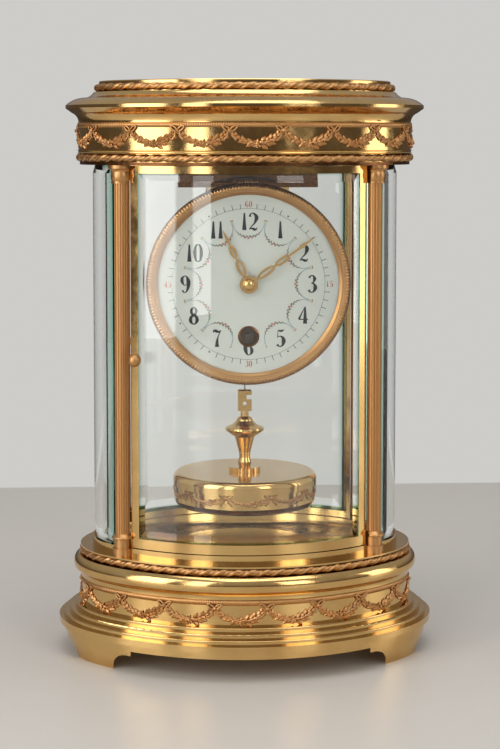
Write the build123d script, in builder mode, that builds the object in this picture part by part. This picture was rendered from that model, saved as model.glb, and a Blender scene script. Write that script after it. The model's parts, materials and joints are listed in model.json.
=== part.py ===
from build123d import *
import math
import os

# Torsion pendulum clock in an oval case with four bent glasses.
# Millimetres, +Z up, the dial faces -Y, the origin is on the table under the middle of the case.

# Plan of the case: four arcs, whose centres stay the same for every ring
end_offset = 39.0
side_offset = 37.8
overrun = 40.0

# Heights of the base, from the table up
skirt_height = 17.5
steps_height = 6.9
base_frieze_height = 13.1
torus_height = 11.1
ledge_height = 4.9
threshold_height = 4.0
window_height = 188.5

# Heights of the cornice, from the soffit up
soffit_thickness = 1.5
rope_groove = 4.0
bead_height = 1.8
cornice_frieze_height = 13.7
cavetto_height = 4.7
moulding_height = 12.3
crown_step_height = 2.8
crown_seat_height = 4.2
crown_rim_thickness = 1.3

# Foot skirt
foot_reach = 90.3
skirt_ring_reach = 95.1
skirt_ring_height = 3.0
skirt_flare = 2.6
skirt_hollow = 0.5
skirt_wall = 3.0
skirt_flange_reach = 80.8
skirt_flange_thickness = 2.5
arch_half_width = 67.0
side_arch_half_width = 24.0
arch_height = 10.8
arch_shoulder_height = 8.4
arch_corner_radius = 6.0
arch_shoulder_width = 2.5

# Stepped bands, with the bed plate that closes the base
step_reaches = [92.8, 90.0, 87.0]
step_edge_radius = 0.6
bed_plate_thickness = 2.0
steps_inner_reach = 82.0

# Friezes and their cast garlands
base_frieze_reach = 83.5
cornice_frieze_reach = 84.0
frieze_wall = 2.6
garland_count = 18
base_garland_start = -5.4
cornice_garland_start = 2.2
garland_relief = 1.2
garland_seat_gap = 0.05
garland_top_inset = 3.0
swag_drop = 7.0
swag_inner_drop = 4.4
swag_end_gap = 1.6
bow_loop_length = 3.6
bow_loop_width = 1.9
bow_knot_radius = 1.1
bow_tail_length = 5.2
bow_tail_width = 0.9
bow_spread_angle = 35.0
flower_radius = 1.7
side_flower_radius = 1.2
side_flower_offset = 2.5

# Torus moulding, rope rings and ledge of the base
torus_reach = 86.9
torus_foot_reach = 84.0
torus_foot_height = 4.2
cavetto_bow = 0.9
torus_bow = 1.5
torus_top_reach = 85.2
torus_flange_reach = 64.0
torus_flange_thickness = 2.0
rope_radius = 1.9
base_rope_reach = 82.8
rope_seat_gap = 0.1
ledge_reach = 84.1
ledge_lip = 0.8
ledge_seat_reach = 80.7
ledge_inner_reach = 70.0

# Threshold ring, floor and floor disc
threshold_reach = 78.0
threshold_inner_reach = 71.0
glass_groove_depth = 2.0
glass_groove_gap = 0.12
floor_thickness = 1.4
floor_gap = 0.15
floor_disc_radius = 36.0
floor_disc_thickness = 1.0
floor_disc_edge = 0.3

# Side glasses
glass_reach = 76.9
glass_thickness = 4.0
side_glass_half_angle = 41.0
glass_bevel_width = 4.2
glass_bevel_depth = 1.2

# Columns and their tie rods
column_x = 62.3
column_y = 32.0
shaft_radius = 3.6
flute_count = 16
flute_radius = 0.5
column_base_height = 11.0
plinth_height = 3.8
plinth_radius = 5.0
base_ring_radius = 4.9
base_ring_height = 2.6
base_neck_radius = 4.1
capital_height = 8.8
abacus_radius = 6.5
abacus_height = 3.2
abacus_cove = 0.8
capital_ring_radius = 4.8
capital_ring_height = 1.0
capital_bell_radius = 4.5
capital_bell_bow = 0.45
rod_radius = 1.25
rod_bore_radius = 1.45
nut_radius = 2.1
nut_thickness = 2.4
nut_pocket_gap = 0.15
rod_tail = 0.6

# Doors, front and rear
door_outer_reach = 77.1
door_inner_reach = 72.4
door_half_width = 57.9
door_opening_half_width = 54.3
door_gap = 0.3
door_bottom_rail = 4.7
door_top_rail = 3.6
door_rebate = 1.3
door_lip = 1.2
door_glass_gap = 0.1
door_glass_thickness = 3.5
door_clearance = 0.4
hinge_trim_offset = 3.75
hinge_trim_turn = 17.5
pivot_x = 56.0
pivot_radius = 0.9
pivot_running_gap = 0.06
pivot_seat_gap = 0.04
pivot_length_in_door = 2.6
knob_height = 151.5
knob_x = 56.1
knob_radius = 3.2
knob_stem_radius = 1.2
knob_standoff = 1.2
knob_collar_radius = 2.2
knob_collar_thickness = 0.8
tongue_length = 6.5
tongue_width = 2.4
tongue_thickness = 1.0
tongue_gap = 0.25

# Cornice
soffit_reach = 83.4
cornice_rope_reach = 83.5
cornice_seat_reach = 81.4
cornice_inner_reach = 78.4
bead_reach = 85.9
cornice_cavetto_reach = 87.2
flange_reach = 90.4
flange_thickness = 1.5
flange_underside = 2.3
ovolo_reach = 81.6
ovolo_bow = 0.9
moulding_inner_reach = 74.0
crown_step_reach = 80.4
crown_top_reach = 76.3
crown_step_bow = 0.5
crown_plate_thickness = 1.5
crown_rope_reach = 74.3
crown_seat_reach = 72.2
crown_rim_reach = 73.6
crown_wall = 2.0
crown_rim_edge = 0.4

# Movement plates and their pillars, depths measured forwards from the clock's axis
dial_height = 187.6
plate_radius = 45.5
plate_neck_half_width = 20.0
plate_top = 235.0
plate_thickness = 2.0
back_plate_depth = 2.0
plate_spacing = 20.0
pillar_distance = 42.3
pillar_bearings = [49.0, 131.0, 225.0, 315.0]
pillar_radius = 2.5
pillar_screw_radius = 1.2
pillar_nut_radius = 2.4
pillar_nut_thickness = 1.5
fit_gap = 0.06
seat_half_width = 34.0
seat_thickness = 6.0
seat_depth = 27.5
seat_back_depth = 2.3
seat_post_radius = 3.0
seat_post_inset = 5.0

# Going train
barrel_height = 161.8
great_teeth = 96
great_module = 0.45
first_pinion_teeth = 12
first_teeth = 96
first_module = 0.28
second_pinion_teeth = 12
second_teeth = 90
centre_pinion_teeth = 12
centre_teeth = 60
centre_module = 0.35
third_pinion_teeth = 15
third_teeth = 60
third_module = 0.30
escape_pinion_teeth = 15
escape_teeth = 15
escape_tip_radius = 8.0
escape_root_radius = 6.6
escape_root_shares = [0.12, 0.55]
escape_height = 207.0
first_lean = 50.0
tooth_tip_share = 0.80
tooth_root_share = 1.15
tooth_tip_width_share = 0.10
tooth_root_width_share = 0.26
arbor_radius = 0.9
pivot_pin_radius = 0.5
shoulder_gap = 0.3
wheel_thickness = 1.0
pinion_length = 2.8
pinion_overlap = 0.9
rim_width = 2.0
hub_radius = 2.2
spoke_width = 1.3

# Depths of the wheels between the plates
great_depth = 9.6
great_thickness = 1.4
first_wheel_depth = 6.4
second_wheel_depth = 21.6
centre_wheel_depth = 8.2
third_wheel_depth = 13.0
escape_wheel_depth = 18.0

# Barrel, mainspring and winding
drum_radius = 19.5
drum_front_depth = 21.0
drum_wall = 1.0
barrel_arbor_radius = 1.8
spring_strip = 0.5
spring_pitch = 1.3
spring_inner_radius = 2.5
spring_half_turns = 23
spring_end_gap = 0.4
ratchet_teeth = 24
ratchet_tip_radius = 8.0
ratchet_root_radius = 6.9
ratchet_thickness = 1.2
ratchet_turn = 147.0
winding_square = 2.6
winding_end_depth = 30.9
click_boss_radius = 1.9
click_nose_turn = 151.0
click_nose_radius = 0.7
click_nose_reach = 9.0
click_drop = 8.0
click_lead = 3.3
click_tip_reach = 7.5
click_tip_turns = [148.2, 150.5]
click_root_turns = [154.0, 148.2]
click_root_reach = 8.8

# Escapement and suspension
anchor_height = 217.5
anchor_thickness = 1.0
anchor_arm_width = 1.6
pallet_gap = 1.3
pallet_bearing = 50.0
pallet_size = 1.2
crutch_depth = -0.5
crutch_radius = 0.4
crutch_top = 226.0
pendulum_setback = 4.0
fork_height = 223.6
fork_thickness = 1.2
fork_hub_radius = 1.6
fork_slot_half_width = 0.6
fork_tine_width = 0.8
fork_reach = 4.6
bracket_half_width = 6.0
bracket_bottom = 228.0
bracket_thickness = 2.0
arm_half_width = 4.0
arm_bottom = 234.0
arm_top = 237.0
arm_length = 8.0
block_radius = 2.0
block_head_radius = 3.0
block_head_height = 1.5
block_bottom = 229.5
strip_width = 0.9
strip_thickness = 0.15
strip_bottom = 126.6
strip_hole_radius = 0.65
strip_hole_bottom = 126.0

# Motion work behind the dial
motion_module = 0.30
cannon_teeth = 15
minute_teeth = 45
minute_pinion_teeth = 12
hour_teeth = 48
motion_lean = 217.0
cannon_depth = 26.6
hour_wheel_depth = 28.2
motion_wheel_thickness = 0.8
minute_pinion_end = 29.4
cannon_pipe_radius = 1.6
cannon_pipe_end = 34.9
hour_pipe_radius = 2.4
hour_pipe_end = 33.1
centre_arbor_end = 36.0
centre_arbor_radius = 0.8
motion_post_radius = 0.8

# Dial, bezel and hands
dial_radius = 48.0
dial_thickness = 1.0
dial_back_depth = 30.2
dial_centre_hole_radius = 2.9
dial_foot_radius = 1.2
dial_foot_pin_radius = 0.8
dial_foot_distance = 40.0
dial_foot_bearings = [60.0, 120.0, 270.0]
winding_hole_radius = 4.6
grommet_bore_radius = 4.3
grommet_flange_radius = 5.2
grommet_flange_thickness = 0.5
bezel_radius = 49.8
bezel_inner_radius = 43.9
bezel_seat_gap = 0.15
bezel_back_depth = 30.4
bezel_front_depth = 33.8
bezel_lip_depth = 32.0
bezel_shoulder_radius = 45.4
bezel_shoulder_depth = 32.7
bezel_crest_radius = 47.8
bezel_edge_depth = 33.0
hour_hand_depth = 32.4
minute_hand_depth = 34.2
hand_thickness = 0.6
hand_boss_radius = 4.4
hour_hand_length = 29.6
minute_hand_length = 40.0
hour_hand_angle = 334.5
minute_hand_angle = 54.0
hand_stem_width = 1.1
hand_tip_width = 2.0
hour_loop_shares = [(0.30, 0.068, 0.15), (0.60, 0.058, 0.115)]
minute_loop_shares = [(0.26, 0.048, 0.125), (0.50, 0.042, 0.105)]
loop_bar = 1.25
tip_start_share = 0.80
tip_swell_share = 0.05
hand_nut_radius = 3.0
hand_nut_height = 1.9
hand_nut_shoulder = 0.9
hand_nut_crown_radius = 2.0

# Pendulum
hook_bottom = 119.8
hook_top = 130.7
hook_half_width = 3.5
hook_half_depth = 2.0
hook_eye_radius = 1.0
hook_eye_height = 123.6
hook_notch_height = 2.4
hook_notch_depth = 2.6
hook_notch_bottom = 125.6
hook_edge = 0.5
neck_radius = 2.1
neck_bottom = 117.0
bell_shoulder_radius = 4.2
bell_shoulder_height = 114.8
bell_step_radius = 6.4
bell_step_height = 112.6
bell_radius = 10.1
bell_height = 110.4
bell_edge = 0.9
collar_radius = 7.4
collar_height = 107.9
cone_radius = 5.2
cone_top = 106.5
cone_bottom = 98.5
cone_foot_radius = 2.95
waist_height = 95.7
waist_radius = 2.8
bead_ring_radius = 3.65
bead_ring_height = 93.5
stem_radius = 2.9
rate_dial_radius = 8.0
rate_dial_top = 91.0
knurl_count = 40
knurl_radius = 0.3
spigot_radius = 2.4
disc_top = 88.8
disc_bottom = 71.6
disc_radius = 36.7
disc_flat_radius = 34.3
disc_band_top = 85.4
disc_band_bottom = 82.6
disc_frieze_radius = 36.0
disc_frieze_bottom = 75.1
disc_lip_radius = 32.0
disc_wall = 1.5
disc_top_thickness = 1.6
disc_shoulder_bow = 0.7
disc_foot_bow = 1.0
disc_floor_thickness = 1.5

# Levels and radii that follow from the sizes above
centre_gap = math.hypot(end_offset, side_offset)
end_bearing = math.degrees(math.atan2(side_offset, end_offset))
end_shift = -end_offset
side_shift = centre_gap - end_offset
side_span = 180 - 2 * end_bearing
oval_arcs = [
    ((0, side_offset), 180 + end_bearing, side_span, side_shift),
    ((end_offset, 0), -end_bearing, 2 * end_bearing, end_shift),
    ((0, -side_offset), end_bearing, side_span, side_shift),
    ((-end_offset, 0), 180 - end_bearing, 2 * end_bearing, end_shift),
]

steps_top = skirt_height + steps_height
base_frieze_top = steps_top + base_frieze_height
torus_top = base_frieze_top + torus_height
ledge_top = torus_top + ledge_height
threshold_top = ledge_top + threshold_height
soffit_bottom = threshold_top + window_height
soffit_top = soffit_bottom + soffit_thickness
bead_bottom = soffit_top + rope_groove
bead_top = bead_bottom + bead_height
cornice_frieze_top = bead_top + cornice_frieze_height
moulding_top = cornice_frieze_top + moulding_height
crown_step_top = moulding_top + crown_step_height
crown_rim_bottom = crown_step_top + crown_seat_height
crown_top = crown_rim_bottom + crown_rim_thickness
floor_top = torus_top + floor_thickness
base_rope_height = ledge_top - ledge_lip - rope_seat_gap - rope_radius
cornice_rope_height = (soffit_top + bead_bottom) / 2
crown_rope_height = (crown_step_top + crown_rim_bottom) / 2

column_spots = [(x, y) for x in (column_x, -column_x) for y in (column_y, -column_y)]
shaft_bottom = ledge_top + column_base_height
shaft_top = soffit_bottom - capital_height
door_bottom = threshold_top + door_gap
door_top = soffit_bottom - door_gap
door_outer_radius = door_outer_reach + side_shift
door_inner_radius = door_inner_reach + side_shift
door_glass_outer_radius = door_outer_radius - door_lip - door_glass_gap
door_glass_inner_radius = door_glass_outer_radius - door_glass_thickness
pivot_ring_radius = (door_outer_radius + door_inner_radius) / 2
pivot_y = side_offset - math.sqrt(pivot_ring_radius**2 - pivot_x**2)
knob_collar_depth = math.sqrt(door_outer_radius**2 - (knob_x - knob_collar_radius) ** 2) - side_offset
tongue_depth = math.sqrt(door_inner_radius**2 - door_half_width**2) - side_offset - tongue_gap

front_plate_depth = back_plate_depth + plate_thickness + plate_spacing
front_plate_front = front_plate_depth + plate_thickness
back_plate_front = back_plate_depth + plate_thickness
pendulum_spot = (0, pendulum_setback)
dial_spot = (0, dial_height)
barrel_spot = (0, barrel_height)
escape_spot = (0, escape_height)
anchor_spot = (0, anchor_height)


def meshing_distance(first_count, second_count, module):
    """Distance between the centres of two wheels in mesh."""
    return (first_count + second_count) * module / 2


def bearing_of(start, end):
    """Bearing in degrees from one spot to another."""
    return math.degrees(math.atan2(end[1] - start[1], end[0] - start[0]))


def spot_at(start, distance, bearing):
    """Spot at a distance and bearing from another."""
    angle = math.radians(bearing)
    return (start[0] + distance * math.cos(angle), start[1] + distance * math.sin(angle))


def spot_between(first, first_distance, second, second_distance, side):
    """Spot at given distances from two others, on the left (1) or right (-1) of the line between them."""
    gap = math.dist(first, second)
    along = (gap**2 + first_distance**2 - second_distance**2) / (2 * gap)
    across = math.sqrt(first_distance**2 - along**2)
    return spot_at(spot_at(first, along, bearing_of(first, second)), side * across, bearing_of(first, second) + 90)


first_distance = meshing_distance(great_teeth, first_pinion_teeth, great_module)
first_spot = spot_at(barrel_spot, first_distance, 90 + first_lean)
second_spot = spot_between(
    first_spot,
    meshing_distance(first_teeth, second_pinion_teeth, first_module),
    dial_spot,
    meshing_distance(second_teeth, centre_pinion_teeth, first_module),
    1,
)
third_spot = spot_between(
    dial_spot,
    meshing_distance(centre_teeth, third_pinion_teeth, centre_module),
    escape_spot,
    meshing_distance(third_teeth, escape_pinion_teeth, third_module),
    -1,
)
motion_spot = spot_at(dial_spot, meshing_distance(cannon_teeth, minute_teeth, motion_module), motion_lean)
click_lever_end = spot_at(barrel_spot, click_nose_reach, click_nose_turn)
click_spot = spot_at(spot_at(click_lever_end, click_drop, click_nose_turn + 90), click_lead, click_nose_turn)

os.makedirs("parts", exist_ok=True)


def save(part, name):
    """Label a finished piece and write it to its own file."""
    part.label = name
    export_step(part, f"parts/{name}.step")


def section(outline, shift=0):
    """Closed face through (distance, height) points; a third value bows the side that leads to the point."""
    with BuildSketch(mode=Mode.PRIVATE) as face:
        with BuildLine():
            for here, there in zip(outline[-1:] + outline[:-1], outline):
                start = (here[0] + shift, here[1])
                end = (there[0] + shift, there[1])
                if len(there) > 2:
                    SagittaArc(start, end, there[2])
                else:
                    Line(start, end)
        make_face()
    return face.sketch


def oval_ring(outline):
    """Ring round the case; its outline is given by reach from the clock's axis and by height."""
    with BuildPart() as ring:
        for centre, bearing, span, shift in oval_arcs:
            angle = math.radians(bearing)
            outwards = (math.cos(angle), math.sin(angle), 0)
            sideways = (math.sin(angle), -math.cos(angle), 0)
            with BuildSketch(Plane(origin=(*centre, 0), x_dir=outwards, z_dir=sideways)):
                add(section(outline, shift))
            revolve(axis=Axis((*centre, 0), (0, 0, 1)), revolution_arc=span)
    return ring.part


def oval_plate(reach, bottom, top):
    """Flat oval plate between two heights."""
    with BuildPart() as plate:
        with BuildSketch(Plane.XY.offset(bottom)):
            with BuildLine():
                for centre, bearing, span, shift in oval_arcs:
                    CenterArc(centre, reach + shift, bearing, span)
            make_face()
        extrude(amount=top - bottom)
    return plate.part


def oval_stations(reach, count, start_travel):
    """Evenly spaced (point, outward bearing) pairs round the oval, the first a travel from the front's middle."""
    lengths = [math.radians(span) * (reach + shift) for centre, bearing, span, shift in oval_arcs]
    stations = []
    for index in range(count):
        travel = (lengths[0] / 2 + start_travel + index * sum(lengths) / count) % sum(lengths)
        for (centre, bearing, span, shift), length in zip(oval_arcs, lengths):
            if travel <= length:
                break
            travel -= length
        outward = bearing + span * travel / length
        stations.append((spot_at(centre, reach + shift, outward), outward))
    return stations


def turned(outline, spots):
    """Pieces turned about upright axes; the outline is given by radius and height."""
    with BuildPart() as piece:
        for x, y in spots:
            with BuildSketch(Plane(origin=(x, y, 0), x_dir=(1, 0, 0), z_dir=(0, -1, 0))):
                add(section(outline))
            revolve(axis=Axis((x, y, 0), (0, 0, 1)))
    return piece.part


def turned_forward(outline, spot):
    """Piece turned about an axis that runs to the front; the outline is given by radius and depth."""
    with BuildPart() as piece:
        with BuildSketch(Plane(origin=(spot[0], 0, spot[1]), x_dir=(1, 0, 0), z_dir=(0, 0, -1))):
            add(section(outline))
        revolve(axis=Axis((spot[0], 0, spot[1]), (0, -1, 0)))
    return piece.part


# Foot skirt: a cast ring with an arch cut under each side
skirt_waist_height = skirt_height - skirt_ring_height
skirt_waist_reach = foot_reach + skirt_flare
skirt_inner_reach = foot_reach - skirt_wall
skirt_ring = oval_ring(
    [
        (skirt_inner_reach, 0),
        (foot_reach, 0),
        (skirt_waist_reach, skirt_waist_height, -skirt_hollow),
        (skirt_ring_reach, skirt_waist_height),
        (skirt_ring_reach, skirt_height),
        (skirt_flange_reach, skirt_height),
        (skirt_flange_reach, skirt_height - skirt_flange_thickness),
        (skirt_inner_reach, skirt_height - skirt_flange_thickness),
    ]
)
with BuildPart() as foot_skirt:
    add(skirt_ring)
    for plane, half_width in ((Plane.XZ, arch_half_width), (Plane.YZ, side_arch_half_width)):
        shoulder = half_width - arch_corner_radius
        with BuildSketch(plane):
            with BuildLine():
                for side in (1, -1):
                    Line((side * half_width, 0), (side * half_width, arch_shoulder_height - arch_corner_radius))
                    RadiusArc(
                        (side * half_width, arch_shoulder_height - arch_corner_radius),
                        (side * shoulder, arch_shoulder_height),
                        -side * arch_corner_radius,
                    )
                    Line(
                        (side * shoulder, arch_shoulder_height),
                        (side * (shoulder - arch_shoulder_width), arch_shoulder_height),
                    )
                    Line(
                        (side * (shoulder - arch_shoulder_width), arch_shoulder_height),
                        (side * (shoulder - arch_shoulder_width), arch_height),
                    )
                Line((arch_shoulder_width - shoulder, arch_height), (shoulder - arch_shoulder_width, arch_height))
                Line((-half_width, 0), (half_width, 0))
            make_face()
        extrude(amount=foot_reach + overrun, both=True, mode=Mode.SUBTRACT)
save(foot_skirt.part, "foot_skirt")

# Stepped bands and the bed plate inside them
step_rise = steps_height / len(step_reaches)
step_outline = [(steps_inner_reach, skirt_height)]
for index, reach in enumerate(step_reaches):
    step_outline.append((reach, skirt_height + index * step_rise))
    step_outline.append((reach, skirt_height + (index + 1) * step_rise - step_edge_radius))
    step_outline.append((reach - step_edge_radius, skirt_height + (index + 1) * step_rise, -step_edge_radius / 3))
step_outline.append((steps_inner_reach, steps_top))
step_ring = oval_ring(step_outline)
bed_plate = oval_plate(steps_inner_reach, skirt_height, skirt_height + bed_plate_thickness)
with BuildPart() as base_steps:
    add(step_ring)
    add(bed_plate)
    with BuildSketch(Plane.XY.offset(skirt_height)):
        with Locations(*column_spots):
            Circle(rod_bore_radius)
    extrude(amount=bed_plate_thickness, mode=Mode.SUBTRACT)
save(base_steps.part, "base_steps")

# Plain mouldings that follow the oval
rope_clearance = rope_radius + rope_seat_gap
base_frieze_ring = oval_ring(
    [
        (base_frieze_reach - frieze_wall, steps_top),
        (base_frieze_reach, steps_top),
        (base_frieze_reach, base_frieze_top),
        (base_frieze_reach - frieze_wall, base_frieze_top),
    ]
)
save(base_frieze_ring, "base_frieze")

base_rope_ring = oval_ring(
    [
        (base_rope_reach + rope_radius, base_rope_height, rope_radius),
        (base_rope_reach - rope_radius, base_rope_height, rope_radius),
    ]
)
save(base_rope_ring, "base_rope")

cornice_rope_ring = oval_ring(
    [
        (cornice_rope_reach + rope_radius, cornice_rope_height, rope_radius),
        (cornice_rope_reach - rope_radius, cornice_rope_height, rope_radius),
    ]
)
save(cornice_rope_ring, "cornice_rope")

crown_rope_ring = oval_ring(
    [
        (crown_rope_reach + rope_radius, crown_rope_height, rope_radius),
        (crown_rope_reach - rope_radius, crown_rope_height, rope_radius),
    ]
)
save(crown_rope_ring, "crown_rope")

flange_bottom = cornice_frieze_top + cavetto_height + flange_underside
flange_top = flange_bottom + flange_thickness
cornice_moulding_ring = oval_ring(
    [
        (moulding_inner_reach, cornice_frieze_top),
        (cornice_frieze_reach, cornice_frieze_top),
        (cornice_cavetto_reach, cornice_frieze_top + cavetto_height, cavetto_bow),
        (flange_reach, flange_bottom),
        (flange_reach, flange_top),
        (ovolo_reach, moulding_top, -ovolo_bow),
        (moulding_inner_reach, moulding_top),
    ]
)
save(cornice_moulding_ring, "cornice_moulding")

# Torus moulding; its inner flange carries the floor and the ledge
torus_waist_height = base_frieze_top + torus_foot_height
torus_ring = oval_ring(
    [
        (base_frieze_reach - frieze_wall, base_frieze_top),
        (torus_foot_reach, base_frieze_top),
        (torus_reach, torus_waist_height, cavetto_bow),
        (torus_top_reach, torus_top, -torus_bow),
        (torus_flange_reach, torus_top),
        (torus_flange_reach, torus_top - torus_flange_thickness),
        (base_frieze_reach - frieze_wall, torus_top - torus_flange_thickness),
    ]
)
with BuildPart() as base_torus:
    add(torus_ring)
    with BuildSketch(Plane.XY.offset(torus_top)):
        with Locations(*column_spots):
            Circle(rod_bore_radius)
    extrude(amount=-torus_flange_thickness, mode=Mode.SUBTRACT)
    add(
        oval_ring(
            [
                (base_rope_reach + rope_clearance, base_rope_height, rope_clearance),
                (base_rope_reach - rope_clearance, base_rope_height, rope_clearance),
            ]
        ),
        mode=Mode.SUBTRACT,
    )
save(base_torus.part, "base_torus")

# Ledge that the columns stand on, with its lip over the rope
ledge_ring = oval_ring(
    [
        (ledge_inner_reach, torus_top),
        (ledge_seat_reach, torus_top),
        (ledge_seat_reach, ledge_top - ledge_lip),
        (ledge_reach, ledge_top - ledge_lip),
        (ledge_reach, ledge_top),
        (ledge_inner_reach, ledge_top),
    ]
)
with BuildPart() as base_ledge:
    add(ledge_ring)
    with BuildSketch(Plane.XY.offset(torus_top)):
        with Locations(*column_spots):
            Circle(rod_bore_radius)
    extrude(amount=ledge_height, mode=Mode.SUBTRACT)
save(base_ledge.part, "base_ledge")

# Threshold ring under the doors, notched for the columns and grooved for the side glasses
threshold_plain = oval_ring(
    [
        (threshold_inner_reach, ledge_top),
        (threshold_reach, ledge_top),
        (threshold_reach, threshold_top),
        (threshold_inner_reach, threshold_top),
    ]
)
side_glass_radius = glass_reach + end_shift
side_glass_inner_radius = side_glass_radius - glass_thickness
groove_bottom = threshold_top - glass_groove_depth
with BuildPart() as threshold_ring:
    add(threshold_plain)
    with BuildSketch(Plane.XY.offset(ledge_top)):
        with Locations(*column_spots):
            Circle(plinth_radius + glass_groove_gap)
    extrude(amount=threshold_height, mode=Mode.SUBTRACT)
    for side, start in ((1, -side_glass_half_angle), (-1, 180 - side_glass_half_angle)):
        with BuildSketch(Plane.XY.offset(groove_bottom)):
            with BuildLine():
                outer = CenterArc(
                    (side * end_offset, 0),
                    side_glass_radius + glass_groove_gap,
                    start - 1,
                    2 * side_glass_half_angle + 2,
                )
                inner = CenterArc(
                    (side * end_offset, 0),
                    side_glass_inner_radius - glass_groove_gap,
                    start - 1,
                    2 * side_glass_half_angle + 2,
                )
                Line(outer @ 0, inner @ 0)
                Line(outer @ 1, inner @ 1)
            make_face()
        extrude(amount=glass_groove_depth, mode=Mode.SUBTRACT)
    with BuildSketch(Plane.XY.offset(groove_bottom)):
        with Locations((pivot_x, pivot_y), (pivot_x, -pivot_y)):
            Circle(pivot_radius + pivot_seat_gap)
    extrude(amount=glass_groove_depth, mode=Mode.SUBTRACT)
save(threshold_ring.part, "threshold_ring")

# Floor of the case and the polished disc under the pendulum
floor_plate = oval_plate(ledge_inner_reach - floor_gap, torus_top, floor_top)
save(floor_plate, "floor_plate")

with BuildPart() as floor_disc:
    with BuildSketch(Plane.XY.offset(floor_top)):
        with Locations(pendulum_spot):
            Circle(floor_disc_radius)
    extrude(amount=floor_disc_thickness)
    chamfer(floor_disc.faces().sort_by(Axis.Z)[-1].edges(), floor_disc_edge)
save(floor_disc.part, "floor_disc")

# Side glasses, bent to the oval, with a bevel round the outer face
glass_bottom = groove_bottom + glass_groove_gap
bevel_radius = side_glass_radius - glass_bevel_depth
side_glass_outline = [
    (side_glass_inner_radius, glass_bottom),
    (bevel_radius, glass_bottom),
    (side_glass_radius, glass_bottom + glass_groove_depth + glass_bevel_width),
    (side_glass_radius, soffit_bottom - glass_bevel_width),
    (bevel_radius, soffit_bottom),
    (side_glass_inner_radius, soffit_bottom),
]
for name, side, start in (
    ("side_glass_right", 1, -side_glass_half_angle),
    ("side_glass_left", -1, 180 - side_glass_half_angle),
):
    centre = (side * end_offset, 0)
    angle = math.radians(start)
    with BuildPart() as side_glass:
        with BuildSketch(
            Plane(
                origin=(*centre, 0),
                x_dir=(math.cos(angle), math.sin(angle), 0),
                z_dir=(math.sin(angle), -math.cos(angle), 0),
            )
        ):
            add(section(side_glass_outline))
        revolve(axis=Axis((*centre, 0), (0, 0, 1)), revolution_arc=2 * side_glass_half_angle)
        bevel_angle = math.degrees(glass_bevel_width / side_glass_radius)
        for edge_bearing, inward in ((start, 1), (start + 2 * side_glass_half_angle, -1)):
            inner_point = spot_at(centre, bevel_radius, edge_bearing)
            outer_point = spot_at(centre, side_glass_radius, edge_bearing + inward * bevel_angle)
            with BuildSketch(Plane.XY.offset(glass_bottom)):
                with BuildLine():
                    Polyline(
                        inner_point,
                        outer_point,
                        spot_at(outer_point, glass_thickness, edge_bearing),
                        spot_at(inner_point, glass_thickness, edge_bearing - inward * 90),
                        close=True,
                    )
                make_face()
            extrude(amount=soffit_bottom - glass_bottom, mode=Mode.SUBTRACT)
    save(side_glass.part, name)

# Columns: base, fluted shaft and capital, drawn together by a tie rod with two nuts
plinth_top = ledge_top + plinth_height
base_ring_bottom = shaft_bottom - base_ring_height
column_base_turning = turned(
    [
        (rod_bore_radius, ledge_top),
        (plinth_radius, ledge_top),
        (plinth_radius, plinth_top),
        (base_neck_radius, plinth_top),
        (base_neck_radius, base_ring_bottom),
        (base_ring_radius, base_ring_bottom),
        (base_ring_radius, shaft_bottom - base_ring_height / 2, -capital_bell_bow),
        (shaft_radius, shaft_bottom),
        (rod_bore_radius, shaft_bottom),
    ],
    column_spots,
)
ring_bottom = shaft_top
ring_top = ring_bottom + capital_ring_height
abacus_bottom = soffit_bottom - abacus_height
column_capital_turning = turned(
    [
        (rod_bore_radius, ring_bottom),
        (capital_ring_radius, ring_bottom),
        (capital_ring_radius, ring_top),
        (capital_bell_radius, ring_top),
        (capital_ring_radius, abacus_bottom, -capital_bell_bow),
        (abacus_radius, abacus_bottom + abacus_height / 2, abacus_cove / 2),
        (abacus_radius, soffit_bottom),
        (rod_bore_radius, soffit_bottom),
    ],
    column_spots,
)
for name, turning in (("column_bases", column_base_turning), ("column_capitals", column_capital_turning)):
    with BuildPart() as column_end:
        add(turning)
        for side_y in (1, -1):
            hinge_spot = (column_x, side_y * column_y)
            latch_spot = (-column_x, side_y * column_y)
            for spot, turn, offset in (
                (hinge_spot, 180, column_x - door_half_width - door_clearance),
                (hinge_spot, 180 - side_y * hinge_trim_turn, hinge_trim_offset),
                (latch_spot, 0, column_x - door_half_width - door_clearance),
            ):
                with BuildSketch(Plane.XY.offset(door_bottom - door_gap)):
                    with Locations(Location((*spot, 0), (0, 0, turn))):
                        with Locations((offset + abacus_radius, 0)):
                            Rectangle(2 * abacus_radius, 4 * abacus_radius)
                extrude(amount=window_height, mode=Mode.SUBTRACT)
    save(column_end.part, name)

with BuildPart() as column_shafts:
    with BuildSketch(Plane.XY.offset(shaft_bottom)):
        with Locations(*column_spots):
            Circle(shaft_radius)
            Circle(rod_bore_radius, mode=Mode.SUBTRACT)
        for spot in column_spots:
            with Locations(spot):
                with PolarLocations(shaft_radius, flute_count):
                    Circle(flute_radius, mode=Mode.SUBTRACT)
    extrude(amount=shaft_top - shaft_bottom)
save(column_shafts.part, "column_shafts")

bed_bottom = skirt_height
rod_bottom = bed_bottom - nut_thickness - rod_tail
rod_top = soffit_top + nut_thickness + rod_tail
with BuildPart() as tie_rods:
    for nut_bottom in (bed_bottom - nut_thickness, soffit_top):
        with BuildSketch(Plane.XY.offset(nut_bottom)):
            with Locations(*column_spots):
                RegularPolygon(nut_radius, 6)
                Circle(rod_radius + fit_gap, mode=Mode.SUBTRACT)
        extrude(amount=nut_thickness)
    with BuildSketch(Plane.XY.offset(rod_bottom)):
        with Locations(*column_spots):
            Circle(rod_radius)
    extrude(amount=rod_top - rod_bottom)
save(tie_rods.part, "tie_rods")

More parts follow.
